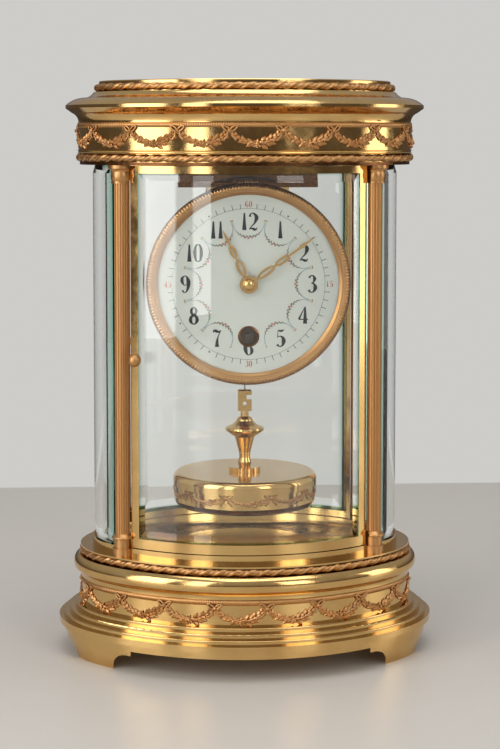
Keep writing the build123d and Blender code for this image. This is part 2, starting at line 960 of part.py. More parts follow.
# Cornice: soffit plate, frieze wall with the rope's seat and the bead, crown and top plate
with BuildPart() as cornice_soffit:
    add(oval_plate(soffit_reach, soffit_bottom, soffit_top))
    with BuildSketch(Plane.XY.offset(soffit_bottom)):
        with Locations(*column_spots):
            Circle(rod_bore_radius)
        with Locations((pivot_x, pivot_y), (pivot_x, -pivot_y)):
            Circle(pivot_radius + pivot_seat_gap)
    extrude(amount=soffit_thickness, mode=Mode.SUBTRACT)
save(cornice_soffit.part, "cornice_soffit")

cornice_frieze_ring = oval_ring(
    [
        (cornice_inner_reach, soffit_top),
        (cornice_seat_reach, soffit_top),
        (cornice_seat_reach, bead_bottom),
        (bead_reach - bead_height / 2, bead_bottom),
        (bead_reach - bead_height / 2, bead_top, bead_height / 2),
        (cornice_frieze_reach, bead_top),
        (cornice_frieze_reach, cornice_frieze_top),
        (cornice_inner_reach, cornice_frieze_top),
    ]
)
with BuildPart() as cornice_frieze:
    add(cornice_frieze_ring)
    with BuildSketch(Plane.XY.offset(soffit_top)):
        with Locations(*column_spots):
            Circle(nut_radius + nut_pocket_gap)
    extrude(amount=nut_thickness + 2 * rod_tail, mode=Mode.SUBTRACT)
save(cornice_frieze.part, "cornice_frieze")

crown_step_ring = oval_ring(
    [
        (moulding_inner_reach, moulding_top),
        (crown_step_reach, moulding_top),
        (crown_top_reach, crown_step_top, crown_step_bow),
        (crown_seat_reach, crown_step_top),
        (crown_seat_reach, crown_step_top - crown_plate_thickness),
        (moulding_inner_reach, crown_step_top - crown_plate_thickness),
    ]
)
with BuildPart() as crown_step:
    add(crown_step_ring)
    add(oval_plate(crown_seat_reach, crown_step_top - crown_plate_thickness, crown_step_top))
save(crown_step.part, "crown_step")

top_plate_wall = oval_ring(
    [
        (crown_seat_reach - crown_wall, crown_step_top),
        (crown_seat_reach, crown_step_top),
        (crown_seat_reach, crown_rim_bottom),
        (crown_rim_reach, crown_rim_bottom),
        (crown_rim_reach, crown_top - crown_rim_edge),
        (crown_rim_reach - crown_rim_edge, crown_top),
        (crown_seat_reach - crown_wall, crown_top),
    ]
)
with BuildPart() as top_plate:
    add(top_plate_wall)
    add(oval_plate(crown_seat_reach - crown_wall, crown_rim_bottom, crown_top))
save(top_plate.part, "top_plate")

# Cast garlands on both friezes: swags hung from bows, each with a bunch of flowers
frieze_levels = [
    (base_frieze_reach, steps_top, base_frieze_top, base_garland_start),
    (cornice_frieze_reach, bead_top, cornice_frieze_top, cornice_garland_start),
]
with BuildPart() as garland_band:
    for reach, frieze_bottom, frieze_top, start_travel in frieze_levels:
        add(
            oval_ring(
                [
                    (reach + garland_seat_gap, frieze_bottom),
                    (reach + garland_relief, frieze_bottom),
                    (reach + garland_relief, frieze_top),
                    (reach + garland_seat_gap, frieze_top),
                ]
            )
        )
with BuildPart() as garland_castings:
    for reach, frieze_bottom, frieze_top, start_travel in frieze_levels:
        stations = oval_stations(reach, garland_count, start_travel)
        half_swag = math.dist(stations[0][0], stations[1][0]) / 2
        for (x, y), outward in stations:
            angle = math.radians(outward)
            face_plane = Plane(
                origin=(x, y, frieze_top - garland_top_inset),
                x_dir=(-math.sin(angle), math.cos(angle), 0),
                z_dir=(math.cos(angle), math.sin(angle), 0),
            )
            with BuildSketch(face_plane):
                with BuildLine():
                    SagittaArc((swag_end_gap - half_swag, 0), (half_swag - swag_end_gap, 0), -swag_drop)
                    SagittaArc((swag_end_gap - half_swag, 0), (half_swag - swag_end_gap, 0), -swag_inner_drop)
                make_face()
                with Locations((0, -(swag_drop + swag_inner_drop) / 2)):
                    Circle(flower_radius)
                    with Locations((side_flower_offset, 0), (-side_flower_offset, 0)):
                        Circle(side_flower_radius)
                with Locations((-half_swag, 0)):
                    Circle(bow_knot_radius)
                    for side in (1, -1):
                        with Locations(Location((0, 0, 0), (0, 0, side * bow_spread_angle))):
                            with Locations((side * bow_loop_length / 2, 0)):
                                Ellipse(bow_loop_length / 2, bow_loop_width / 2)
                        with Locations(Location((0, 0, 0), (0, 0, side * bow_spread_angle / 2))):
                            with Locations((0, -bow_tail_length / 2)):
                                Rectangle(bow_tail_width, bow_tail_length)
            extrude(amount=2 * garland_relief, both=True)
    add(garland_band.part, mode=Mode.INTERSECT)
save(garland_castings.part, "garland_castings")

# Doors, front and rear: a bent frame, a bevelled glass and a turning knob; the rear one is the mirror image
door_height = door_top - door_bottom
opening_bottom = door_bottom + door_bottom_rail
opening_top = door_top - door_top_rail
rebate_half_width = door_opening_half_width + door_rebate
rebate_radius = door_outer_radius - door_lip
with BuildPart() as door_frame:
    with BuildSketch(Plane.XY.offset(door_bottom)):
        with Locations((0, side_offset)):
            Circle(door_outer_radius)
            Circle(door_inner_radius, mode=Mode.SUBTRACT)
        with Locations((0, -overrun)):
            Rectangle(2 * door_half_width, 2 * overrun, mode=Mode.INTERSECT)
    extrude(amount=door_height)
    with BuildSketch(Plane.XZ):
        with Locations((0, (opening_bottom + opening_top) / 2)):
            Rectangle(2 * door_opening_half_width, opening_top - opening_bottom)
    extrude(amount=2 * overrun, mode=Mode.SUBTRACT)
    with BuildSketch(Plane.XY.offset(opening_bottom - door_rebate)):
        with Locations((0, side_offset)):
            Circle(rebate_radius)
        with Locations((0, -overrun)):
            Rectangle(2 * rebate_half_width, 2 * overrun, mode=Mode.INTERSECT)
    extrude(amount=opening_top - opening_bottom + 2 * door_rebate, mode=Mode.SUBTRACT)
    for pivot_bottom in (door_bottom, door_top - pivot_length_in_door):
        with BuildSketch(Plane.XY.offset(pivot_bottom)):
            with Locations((pivot_x, pivot_y)):
                Circle(pivot_radius + pivot_running_gap)
        extrude(amount=pivot_length_in_door, mode=Mode.SUBTRACT)
    knob_plane = Plane(origin=(-knob_x, 0, knob_height), x_dir=(0, 0, 1), z_dir=(0, -1, 0))
    with BuildSketch(knob_plane):
        Circle(knob_stem_radius + fit_gap)
    extrude(amount=2 * overrun, mode=Mode.SUBTRACT)

glass_half_width = rebate_half_width - door_glass_gap
door_glass_bottom = opening_bottom - door_rebate + door_glass_gap
door_glass_top = opening_top + door_rebate - door_glass_gap
bevel_reach = door_rebate - door_glass_gap + glass_bevel_width
with BuildPart() as door_glass:
    door_glass_angle = math.degrees(math.asin(glass_half_width / door_glass_outer_radius))
    start = math.radians(270 - door_glass_angle)
    outwards = (math.cos(start), math.sin(start), 0)
    sideways = (math.sin(start), -math.cos(start), 0)
    bevel_ring_radius = door_glass_outer_radius - glass_bevel_depth
    with BuildSketch(Plane(origin=(0, side_offset, 0), x_dir=outwards, z_dir=sideways)):
        with BuildLine():
            Polyline(
                (door_glass_inner_radius, door_glass_bottom),
                (bevel_ring_radius, door_glass_bottom),
                (door_glass_outer_radius, door_glass_bottom + bevel_reach),
                (door_glass_outer_radius, door_glass_top - bevel_reach),
                (bevel_ring_radius, door_glass_top),
                (door_glass_inner_radius, door_glass_top),
                close=True,
            )
        make_face()
    revolve(axis=Axis((0, side_offset, 0), (0, 0, 1)), revolution_arc=2 * door_glass_angle)
    bevel_turn = math.degrees(bevel_reach / door_glass_outer_radius)
    for edge_bearing, inward in ((270 - door_glass_angle, 1), (270 + door_glass_angle, -1)):
        inner_point = spot_at((0, side_offset), bevel_ring_radius, edge_bearing)
        outer_point = spot_at((0, side_offset), door_glass_outer_radius, edge_bearing + inward * bevel_turn)
        with BuildSketch(Plane.XY.offset(door_glass_bottom)):
            with BuildLine():
                Polyline(
                    inner_point,
                    outer_point,
                    spot_at(outer_point, door_glass_thickness, edge_bearing),
                    spot_at(inner_point, door_glass_thickness, edge_bearing - inward * 90),
                    close=True,
                )
            make_face()
        extrude(amount=door_glass_top - door_glass_bottom, mode=Mode.SUBTRACT)

stem_back = tongue_depth - tongue_thickness
knob_centre_depth = knob_collar_depth + knob_standoff + knob_radius
with BuildPart() as door_knob:
    with BuildSketch(knob_plane.offset(stem_back)):
        Circle(knob_stem_radius)
    extrude(amount=knob_centre_depth - stem_back)
    with BuildSketch(knob_plane.offset(stem_back)):
        with Locations(((tongue_width - tongue_length) / 2, 0)):
            SlotOverall(tongue_length, tongue_width)
    extrude(amount=tongue_thickness)
    with BuildSketch(knob_plane.offset(knob_collar_depth + fit_gap)):
        Circle(knob_collar_radius)
    extrude(amount=knob_collar_thickness)
    with Locations(knob_plane.offset(knob_centre_depth).location):
        Sphere(knob_radius)

for name, piece in (("frame", door_frame), ("glass", door_glass), ("knob", door_knob)):
    save(piece.part, f"front_door_{name}")
    save(mirror(piece.part, about=Plane.XZ), f"rear_door_{name}")

with BuildPart() as door_hinge_pins:
    pin_rise = pivot_length_in_door - fit_gap
    for pin_bottom, pin_top in ((groove_bottom, door_bottom + pin_rise), (door_top - pin_rise, soffit_top)):
        with BuildSketch(Plane.XY.offset(pin_bottom)):
            with Locations((pivot_x, pivot_y), (pivot_x, -pivot_y)):
                Circle(pivot_radius)
        extrude(amount=pin_top - pin_bottom)
save(door_hinge_pins.part, "door_hinge_pins")


def toothed_rim(spot, teeth, module, turn):
    """Corners of a toothed wheel, with one tooth at the turn angle."""
    pitch_radius = teeth * module / 2
    tip_radius = pitch_radius + tooth_tip_share * module
    root_radius = pitch_radius - tooth_root_share * module
    corners = []
    for tooth in range(teeth):
        for radius, share in (
            (root_radius, -tooth_root_width_share),
            (tip_radius, -tooth_tip_width_share),
            (tip_radius, tooth_tip_width_share),
            (root_radius, tooth_root_width_share),
        ):
            corners.append(spot_at(spot, radius, turn + (tooth + share) * 360 / teeth))
    return corners


def meeting_turn(spot, partner, teeth):
    """Turn that brings a gap between two teeth to the partner's side."""
    return bearing_of(spot, partner) + 180 / teeth


def pointed_rim(spot, teeth, tip_radius, root_radius, turn, root_shares):
    """Corners of a wheel with pointed teeth; the shares place the root points within one tooth's pitch."""
    corners = []
    for tooth in range(teeth):
        corners.append(spot_at(spot, tip_radius, turn + tooth * 360 / teeth))
        for share in root_shares:
            corners.append(spot_at(spot, root_radius, turn + (tooth + share) * 360 / teeth))
    return corners


def wheel_and_pinion(spot, wheel_rim, rim_radius, wheel_depth, pinion_rim, pinion_depth):
    """Crossed-out wheel and pinion on one arbor that turns in both plates."""
    opening_radius = rim_radius - rim_width
    with BuildPart() as piece:
        with BuildSketch(Plane.XZ.offset(wheel_depth)):
            with BuildLine():
                Polyline(*wheel_rim, close=True)
            make_face()
            with Locations(spot):
                Circle(opening_radius, mode=Mode.SUBTRACT)
                Circle(hub_radius)
                Rectangle(2 * opening_radius + rim_width, spoke_width)
                Rectangle(spoke_width, 2 * opening_radius + rim_width)
        extrude(amount=wheel_thickness)
        with BuildSketch(Plane.XZ.offset(pinion_depth)):
            with BuildLine():
                Polyline(*pinion_rim, close=True)
            make_face()
        extrude(amount=pinion_length)
        with BuildSketch(Plane.XZ.offset(back_plate_front + shoulder_gap)):
            with Locations(spot):
                Circle(arbor_radius)
        extrude(amount=plate_spacing - 2 * shoulder_gap)
        with BuildSketch(Plane.XZ.offset(back_plate_depth)):
            with Locations(spot):
                Circle(pivot_pin_radius)
        extrude(amount=front_plate_front - back_plate_depth)
    return piece.part


# Movement plates, pillars and the seat that hangs them from the soffit
pillar_spots = [spot_at(dial_spot, pillar_distance, bearing) for bearing in pillar_bearings]
foot_spots = [spot_at(dial_spot, dial_foot_distance, bearing) for bearing in dial_foot_bearings]
plate_neck_height = plate_top - dial_height
plate_neck_middle = (0, dial_height + plate_neck_height / 2)
with BuildPart() as front_plate:
    with BuildSketch(Plane.XZ.offset(front_plate_depth)):
        with Locations(dial_spot):
            Circle(plate_radius)
        with Locations(plate_neck_middle):
            Rectangle(2 * plate_neck_half_width, plate_neck_height)
        with Locations(*pillar_spots):
            Circle(pillar_screw_radius + fit_gap, mode=Mode.SUBTRACT)
        with Locations(*foot_spots):
            Circle(dial_foot_pin_radius + fit_gap, mode=Mode.SUBTRACT)
        with Locations(first_spot, second_spot, third_spot, escape_spot, anchor_spot):
            Circle(pivot_pin_radius + fit_gap, mode=Mode.SUBTRACT)
        with Locations(dial_spot):
            Circle(centre_arbor_radius + fit_gap, mode=Mode.SUBTRACT)
        with Locations(barrel_spot):
            Circle(barrel_arbor_radius + fit_gap, mode=Mode.SUBTRACT)
    extrude(amount=plate_thickness)
    with BuildSketch(Plane.XZ.offset(front_plate_front)):
        with Locations(motion_spot, click_spot):
            Circle(motion_post_radius)
    extrude(amount=minute_pinion_end - front_plate_front)
save(front_plate.part, "front_plate")

with BuildPart() as back_plate:
    with BuildSketch(Plane.XZ.offset(back_plate_depth)):
        with Locations(dial_spot):
            Circle(plate_radius)
        with Locations(plate_neck_middle):
            Rectangle(2 * plate_neck_half_width, plate_neck_height)
        with Locations(*pillar_spots):
            Circle(pillar_screw_radius + fit_gap, mode=Mode.SUBTRACT)
        with Locations(first_spot, second_spot, third_spot, escape_spot, dial_spot):
            Circle(pivot_pin_radius + fit_gap, mode=Mode.SUBTRACT)
        with Locations(anchor_spot):
            Circle(crutch_radius + fit_gap, mode=Mode.SUBTRACT)
        with Locations(barrel_spot):
            Circle(barrel_arbor_radius + fit_gap, mode=Mode.SUBTRACT)
    extrude(amount=plate_thickness)
save(back_plate.part, "back_plate")

with BuildPart() as pillars:
    with BuildSketch(Plane.XZ.offset(back_plate_front)):
        with Locations(*pillar_spots):
            Circle(pillar_radius)
    extrude(amount=plate_spacing)
    with BuildSketch(Plane.XZ.offset(back_plate_depth - pillar_nut_thickness)):
        with Locations(*pillar_spots):
            Circle(pillar_screw_radius)
    extrude(amount=plate_spacing + 2 * plate_thickness + 2 * pillar_nut_thickness)
    for nut_back in (back_plate_depth - pillar_nut_thickness, front_plate_front):
        with BuildSketch(Plane.XZ.offset(nut_back)):
            with Locations(*pillar_spots):
                Circle(pillar_nut_radius)
                Circle(pillar_screw_radius + fit_gap, mode=Mode.SUBTRACT)
        extrude(amount=pillar_nut_thickness)
save(pillars.part, "pillars")

with BuildPart() as seat_bracket:
    seat_middle = (0, -(seat_depth + seat_back_depth) / 2)
    with BuildSketch(Plane.XY.offset(plate_top)):
        with Locations(seat_middle):
            Rectangle(2 * seat_half_width, seat_depth - seat_back_depth)
    extrude(amount=seat_thickness)
    with BuildSketch(Plane.XY.offset(plate_top)):
        with Locations(seat_middle):
            with GridLocations(
                2 * (seat_half_width - seat_post_inset),
                seat_depth - seat_back_depth - 2 * seat_post_inset,
                2,
                2,
            ):
                Circle(seat_post_radius)
    extrude(amount=soffit_bottom - plate_top)
save(seat_bracket.part, "seat_bracket")

# Going train: each wheel carries a pinion that the wheel before it drives
great_turn = bearing_of(barrel_spot, first_spot)
first_wheel = wheel_and_pinion(
    first_spot,
    toothed_rim(first_spot, first_teeth, first_module, bearing_of(first_spot, second_spot)),
    first_teeth * first_module / 2,
    first_wheel_depth,
    toothed_rim(
        first_spot, first_pinion_teeth, great_module, meeting_turn(first_spot, barrel_spot, first_pinion_teeth)
    ),
    great_depth - pinion_overlap,
)
save(first_wheel, "first_wheel")

second_wheel = wheel_and_pinion(
    second_spot,
    toothed_rim(second_spot, second_teeth, first_module, bearing_of(second_spot, dial_spot)),
    second_teeth * first_module / 2,
    second_wheel_depth,
    toothed_rim(
        second_spot, second_pinion_teeth, first_module, meeting_turn(second_spot, first_spot, second_pinion_teeth)
    ),
    first_wheel_depth - pinion_overlap,
)
save(second_wheel, "second_wheel")

centre_train = wheel_and_pinion(
    dial_spot,
    toothed_rim(dial_spot, centre_teeth, centre_module, bearing_of(dial_spot, third_spot)),
    centre_teeth * centre_module / 2,
    centre_wheel_depth,
    toothed_rim(
        dial_spot, centre_pinion_teeth, first_module, meeting_turn(dial_spot, second_spot, centre_pinion_teeth)
    ),
    second_wheel_depth - pinion_overlap,
)
with BuildPart() as centre_wheel:
    add(centre_train)
    with BuildSketch(Plane.XZ.offset(front_plate_depth - shoulder_gap)):
        with Locations(dial_spot):
            Circle(centre_arbor_radius)
    extrude(amount=centre_arbor_end - front_plate_depth + shoulder_gap)
save(centre_wheel.part, "centre_wheel")

third_wheel = wheel_and_pinion(
    third_spot,
    toothed_rim(third_spot, third_teeth, third_module, bearing_of(third_spot, escape_spot)),
    third_teeth * third_module / 2,
    third_wheel_depth,
    toothed_rim(
        third_spot, third_pinion_teeth, centre_module, meeting_turn(third_spot, dial_spot, third_pinion_teeth)
    ),
    centre_wheel_depth - pinion_overlap,
)
save(third_wheel, "third_wheel")

escape_wheel = wheel_and_pinion(
    escape_spot,
    pointed_rim(
        escape_spot, escape_teeth, escape_tip_radius, escape_root_radius, 90 / escape_teeth, escape_root_shares
    ),
    escape_root_radius,
    escape_wheel_depth,
    toothed_rim(
        escape_spot, escape_pinion_teeth, third_module, meeting_turn(escape_spot, third_spot, escape_pinion_teeth)
    ),
    third_wheel_depth - pinion_overlap,
)
save(escape_wheel, "escape_wheel")

# Barrel with the great wheel, its mainspring, the winding arbor with its ratchet, and the click
drum_back_depth = great_depth + great_thickness
with BuildPart() as barrel:
    with BuildSketch(Plane.XZ.offset(great_depth)):
        with BuildLine():
            Polyline(*toothed_rim(barrel_spot, great_teeth, great_module, great_turn), close=True)
        make_face()
    extrude(amount=great_thickness)
    with BuildSketch(Plane.XZ.offset(drum_back_depth)):
        with Locations(barrel_spot):
            Circle(drum_radius)
    extrude(amount=drum_front_depth - drum_back_depth)
    with BuildSketch(Plane.XZ.offset(drum_back_depth)):
        with Locations(barrel_spot):
            Circle(drum_radius - drum_wall)
    extrude(amount=drum_front_depth - drum_back_depth - drum_wall, mode=Mode.SUBTRACT)
    with BuildSketch(Plane.XZ.offset(great_depth)):
        with Locations(barrel_spot):
            Circle(barrel_arbor_radius + fit_gap)
    extrude(amount=drum_front_depth - great_depth, mode=Mode.SUBTRACT)
save(barrel.part, "barrel")

spring_centres = [barrel_spot[0] + side * spring_pitch / 4 for side in (1, -1)]
with BuildPart() as mainspring:
    with BuildSketch(Plane.XZ.offset(drum_back_depth + spring_end_gap)):
        with BuildLine():
            ends = []
            for offset in (spring_strip / 2, -spring_strip / 2):
                for half_turn in range(spring_half_turns):
                    centre_x = spring_centres[half_turn % 2]
                    radius = spring_inner_radius + half_turn * spring_pitch / 2 + offset
                    CenterArc((centre_x, barrel_height), radius, 180 * (half_turn + 1), 180)
                last_side = 1 if spring_half_turns % 2 else -1
                ends.append(
                    (
                        (spring_centres[0] - spring_inner_radius - offset, barrel_height),
                        (centre_x + last_side * radius, barrel_height),
                    )
                )
            Line(ends[0][0], ends[1][0])
            Line(ends[0][1], ends[1][1])
        make_face()
    extrude(amount=drum_front_depth - drum_back_depth - drum_wall - 2 * spring_end_gap)
save(mainspring.part, "mainspring")

ratchet_depth = front_plate_front + fit_gap
with BuildPart() as winding_arbor:
    with BuildSketch(Plane.XZ.offset(back_plate_depth)):
        with Locations(barrel_spot):
            Circle(barrel_arbor_radius)
    extrude(amount=ratchet_depth - back_plate_depth)
    with BuildSketch(Plane.XZ.offset(ratchet_depth)):
        with BuildLine():
            Polyline(
                *pointed_rim(barrel_spot, ratchet_teeth, ratchet_tip_radius, ratchet_root_radius, ratchet_turn, [0]),
                close=True,
            )
        make_face()
    extrude(amount=ratchet_thickness)
    with BuildSketch(Plane.XZ.offset(ratchet_depth)):
        with Locations(barrel_spot):
            Rectangle(winding_square, winding_square)
    extrude(amount=winding_end_depth - ratchet_depth)
save(winding_arbor.part, "winding_arbor")

with BuildPart() as click:
    with BuildSketch(Plane.XZ.offset(ratchet_depth)):
        with Locations(click_spot):
            Circle(click_boss_radius)
        with Locations(click_lever_end):
            Circle(click_nose_radius)
        make_hull()
    extrude(amount=ratchet_thickness)
    with BuildSketch(Plane.XZ.offset(ratchet_depth)):
        with BuildLine():
            Polyline(
                *[spot_at(barrel_spot, click_tip_reach, turn) for turn in click_tip_turns],
                *[spot_at(barrel_spot, click_root_reach, turn) for turn in click_root_turns],
                close=True,
            )
        make_face()
    extrude(amount=ratchet_thickness)
    with BuildSketch(Plane.XZ.offset(ratchet_depth)):
        with Locations(click_spot):
            Circle(motion_post_radius + fit_gap)
    extrude(amount=ratchet_thickness, mode=Mode.SUBTRACT)
save(click.part, "click")

# Anchor with its arbor and the upright crutch pin behind the back plate
pallet_distance = escape_tip_radius + pallet_gap + pallet_size / 2
with BuildPart() as anchor:
    for side in (1, -1):
        with BuildSketch(Plane.XZ.offset(escape_wheel_depth - (anchor_thickness - wheel_thickness) / 2)):
            with Locations(anchor_spot):
                Circle(anchor_arm_width / 2 + arbor_radius / 2)
            with Locations(spot_at(escape_spot, pallet_distance, 90 + side * pallet_bearing)):
                Circle(pallet_size / 2)
            make_hull()
        extrude(amount=anchor_thickness)
    with BuildSketch(Plane.XZ.offset(back_plate_front + shoulder_gap)):
        with Locations(anchor_spot):
            Circle(arbor_radius)
    extrude(amount=plate_spacing - 2 * shoulder_gap)
    with BuildSketch(Plane.XZ.offset(front_plate_depth - shoulder_gap)):
        with Locations(anchor_spot):
            Circle(pivot_pin_radius)
    extrude(amount=plate_thickness + shoulder_gap)
    with BuildSketch(Plane.XZ.offset(crutch_depth - crutch_radius)):
        with Locations(anchor_spot):
            Circle(crutch_radius)
    extrude(amount=back_plate_front + 2 * shoulder_gap - crutch_depth + crutch_radius)
    with BuildSketch(Plane.XY.offset(anchor_height - crutch_radius)):
        with Locations((0, -crutch_depth)):
            Circle(crutch_radius)
    extrude(amount=crutch_top - anchor_height + crutch_radius)
save(anchor.part, "anchor")

# Suspension: bracket on the back plate, spring with its top block, and the fork clamped to the spring
with BuildPart() as suspension_bracket:
    with BuildSketch(Plane.XZ.offset(back_plate_depth - bracket_thickness)):
        with Locations((0, (bracket_bottom + arm_top) / 2)):
            Rectangle(2 * bracket_half_width, arm_top - bracket_bottom)
    extrude(amount=bracket_thickness)
    with BuildSketch(Plane.XY.offset(arm_bottom)):
        with Locations((0, (arm_length - back_plate_depth + bracket_thickness) / 2)):
            Rectangle(2 * arm_half_width, arm_length + back_plate_depth - bracket_thickness)
    extrude(amount=arm_top - arm_bottom)
    with BuildSketch(Plane.XY.offset(arm_bottom)):
        with Locations(pendulum_spot):
            Circle(block_radius + fit_gap)
    extrude(amount=arm_top - arm_bottom, mode=Mode.SUBTRACT)
save(suspension_bracket.part, "suspension_bracket")

with BuildPart() as suspension_spring:
    with BuildSketch(Plane.XY.offset(strip_bottom)):
        with Locations(pendulum_spot):
            Rectangle(strip_width, strip_thickness)
    extrude(amount=arm_top - strip_bottom)
    with BuildSketch(Plane.XY.offset(block_bottom)):
        with Locations(pendulum_spot):
            Circle(block_radius)
    extrude(amount=arm_top - block_bottom)
    with BuildSketch(Plane.XY.offset(arm_top)):
        with Locations(pendulum_spot):
            Circle(block_head_radius)
    extrude(amount=block_head_height)
save(suspension_spring.part, "suspension_spring")

with BuildPart() as suspension_fork:
    with BuildSketch(Plane.XY.offset(fork_height)):
        with Locations((0, pendulum_setback - fork_reach / 2)):
            Rectangle(2 * (fork_slot_half_width + fork_tine_width), fork_reach)
        with Locations((0, pendulum_setback - fork_reach / 2 - fork_hub_radius)):
            Rectangle(2 * fork_slot_half_width, fork_reach, mode=Mode.SUBTRACT)
        with Locations(pendulum_spot):
            Circle(fork_hub_radius)
            Circle(strip_hole_radius, mode=Mode.SUBTRACT)
    extrude(amount=fork_thickness)
save(suspension_fork.part, "suspension_fork")

# Motion work between the front plate and the dial
with BuildPart() as cannon_pinion:
    with BuildSketch(Plane.XZ.offset(cannon_depth)):
        with BuildLine():
            Polyline(
                *toothed_rim(dial_spot, cannon_teeth, motion_module, bearing_of(dial_spot, motion_spot)),
                close=True,
            )
        make_face()
    extrude(amount=motion_wheel_thickness)
    with BuildSketch(Plane.XZ.offset(front_plate_front + fit_gap)):
        with Locations(dial_spot):
            Circle(cannon_pipe_radius)
    extrude(amount=cannon_pipe_end - front_plate_front - fit_gap)
    with BuildSketch(Plane.XZ.offset(front_plate_front)):
        with Locations(dial_spot):
            Circle(centre_arbor_radius + fit_gap)
    extrude(amount=cannon_pipe_end - front_plate_front, mode=Mode.SUBTRACT)
save(cannon_pinion.part, "cannon_pinion")

with BuildPart() as minute_wheel:
    with BuildSketch(Plane.XZ.offset(cannon_depth)):
        with BuildLine():
            Polyline(
                *toothed_rim(
                    motion_spot, minute_teeth, motion_module, meeting_turn(motion_spot, dial_spot, minute_teeth)
                ),
                close=True,
            )
        make_face()
    extrude(amount=motion_wheel_thickness)
    with BuildSketch(Plane.XZ.offset(cannon_depth)):
        with BuildLine():
            Polyline(
                *toothed_rim(motion_spot, minute_pinion_teeth, motion_module, bearing_of(motion_spot, dial_spot)),
                close=True,
            )
        make_face()
    extrude(amount=minute_pinion_end - cannon_depth)
    with BuildSketch(Plane.XZ.offset(cannon_depth)):
        with Locations(motion_spot):
            Circle(motion_post_radius + fit_gap)
    extrude(amount=minute_pinion_end - cannon_depth, mode=Mode.SUBTRACT)
save(minute_wheel.part, "minute_wheel")

with BuildPart() as hour_wheel:
    with BuildSketch(Plane.XZ.offset(hour_wheel_depth)):
        with BuildLine():
            Polyline(
                *toothed_rim(
                    dial_spot, hour_teeth, motion_module, meeting_turn(dial_spot, motion_spot, hour_teeth)
                ),
                close=True,
            )
        make_face()
    extrude(amount=motion_wheel_thickness)
    with BuildSketch(Plane.XZ.offset(hour_wheel_depth)):
        with Locations(dial_spot):
            Circle(hour_pipe_radius)
    extrude(amount=hour_pipe_end - hour_wheel_depth)
    with BuildSketch(Plane.XZ.offset(hour_wheel_depth)):
        with Locations(dial_spot):
            Circle(cannon_pipe_radius + fit_gap)
    extrude(amount=hour_pipe_end - hour_wheel_depth, mode=Mode.SUBTRACT)
save(hour_wheel.part, "hour_wheel")

# Dial with its feet, bezel, winding grommet and hands
dial_front_depth = dial_back_depth + dial_thickness
with BuildPart() as dial_plate:
    with BuildSketch(Plane.XZ.offset(dial_back_depth)):
        with Locations(dial_spot):
            Circle(dial_radius)
            Circle(dial_centre_hole_radius, mode=Mode.SUBTRACT)
        with Locations(barrel_spot):
            Circle(winding_hole_radius, mode=Mode.SUBTRACT)
    extrude(amount=dial_thickness)
    with BuildSketch(Plane.XZ.offset(front_plate_front)):
        with Locations(*foot_spots):
            Circle(dial_foot_radius)
    extrude(amount=dial_back_depth - front_plate_front)
    with BuildSketch(Plane.XZ.offset(front_plate_depth)):
        with Locations(*foot_spots):
            Circle(dial_foot_pin_radius)
    extrude(amount=plate_thickness)
save(dial_plate.part, "dial_plate")

bezel = turned_forward(
    [
        (bezel_inner_radius, dial_front_depth + bezel_seat_gap),
        (bezel_inner_radius, bezel_lip_depth),
        (bezel_shoulder_radius, bezel_shoulder_depth),
        (bezel_crest_radius, bezel_front_depth),
        (bezel_radius, bezel_edge_depth),
        (bezel_radius, bezel_back_depth),
        (dial_radius + bezel_seat_gap, bezel_back_depth),
        (dial_radius + bezel_seat_gap, dial_front_depth + bezel_seat_gap),
    ],
    dial_spot,
)
save(bezel, "bezel")

winding_grommet = turned_forward(
    [
        (grommet_bore_radius, dial_back_depth),
        (winding_hole_radius - fit_gap, dial_back_depth),
        (winding_hole_radius - fit_gap, dial_front_depth),
        (grommet_flange_radius, dial_front_depth),
        (grommet_flange_radius, dial_front_depth + grommet_flange_thickness / 2),
        (grommet_bore_radius, dial_front_depth + grommet_flange_thickness),
    ],
    barrel_spot,
)
save(winding_grommet, "winding_grommet")

for name, angle, length, bore_radius, depth, loop_shares in (
    ("hour_hand", hour_hand_angle, hour_hand_length, hour_pipe_radius, hour_hand_depth, hour_loop_shares),
    ("minute_hand", minute_hand_angle, minute_hand_length, cannon_pipe_radius, minute_hand_depth, minute_loop_shares),
):
    with BuildPart() as hand:
        with BuildSketch(Plane.XZ.offset(depth)):
            with Locations(Location((*dial_spot, 0), (0, 0, -angle))):
                Circle(hand_boss_radius)
                with Locations((0, length * tip_start_share / 2)):
                    Rectangle(hand_stem_width, length * tip_start_share)
                for place, width, height in loop_shares:
                    with Locations((0, length * place)):
                        Ellipse(length * width, length * height)
                        Ellipse(length * width - loop_bar, length * height - loop_bar, mode=Mode.SUBTRACT)
                Polygon(
                    (-hand_stem_width / 2, length * (tip_start_share - tip_swell_share)),
                    (hand_stem_width / 2, length * (tip_start_share - tip_swell_share)),
                    (hand_tip_width / 2, length * tip_start_share),
                    (0, length),
                    (-hand_tip_width / 2, length * tip_start_share),
                    align=None,
                )
                Circle(bore_radius + fit_gap, mode=Mode.SUBTRACT)
        extrude(amount=hand_thickness)
    save(hand.part, name)

hand_nut = turned_forward(
    [
        (centre_arbor_radius + fit_gap, cannon_pipe_end),
        (hand_nut_radius, cannon_pipe_end),
        (hand_nut_radius, cannon_pipe_end + hand_nut_shoulder),
        (hand_nut_crown_radius, cannon_pipe_end + hand_nut_height),
        (0, cannon_pipe_end + hand_nut_height),
        (0, centre_arbor_end + fit_gap),
        (centre_arbor_radius + fit_gap, centre_arbor_end + fit_gap),
    ],
    dial_spot,
)
save(hand_nut, "hand_nut")

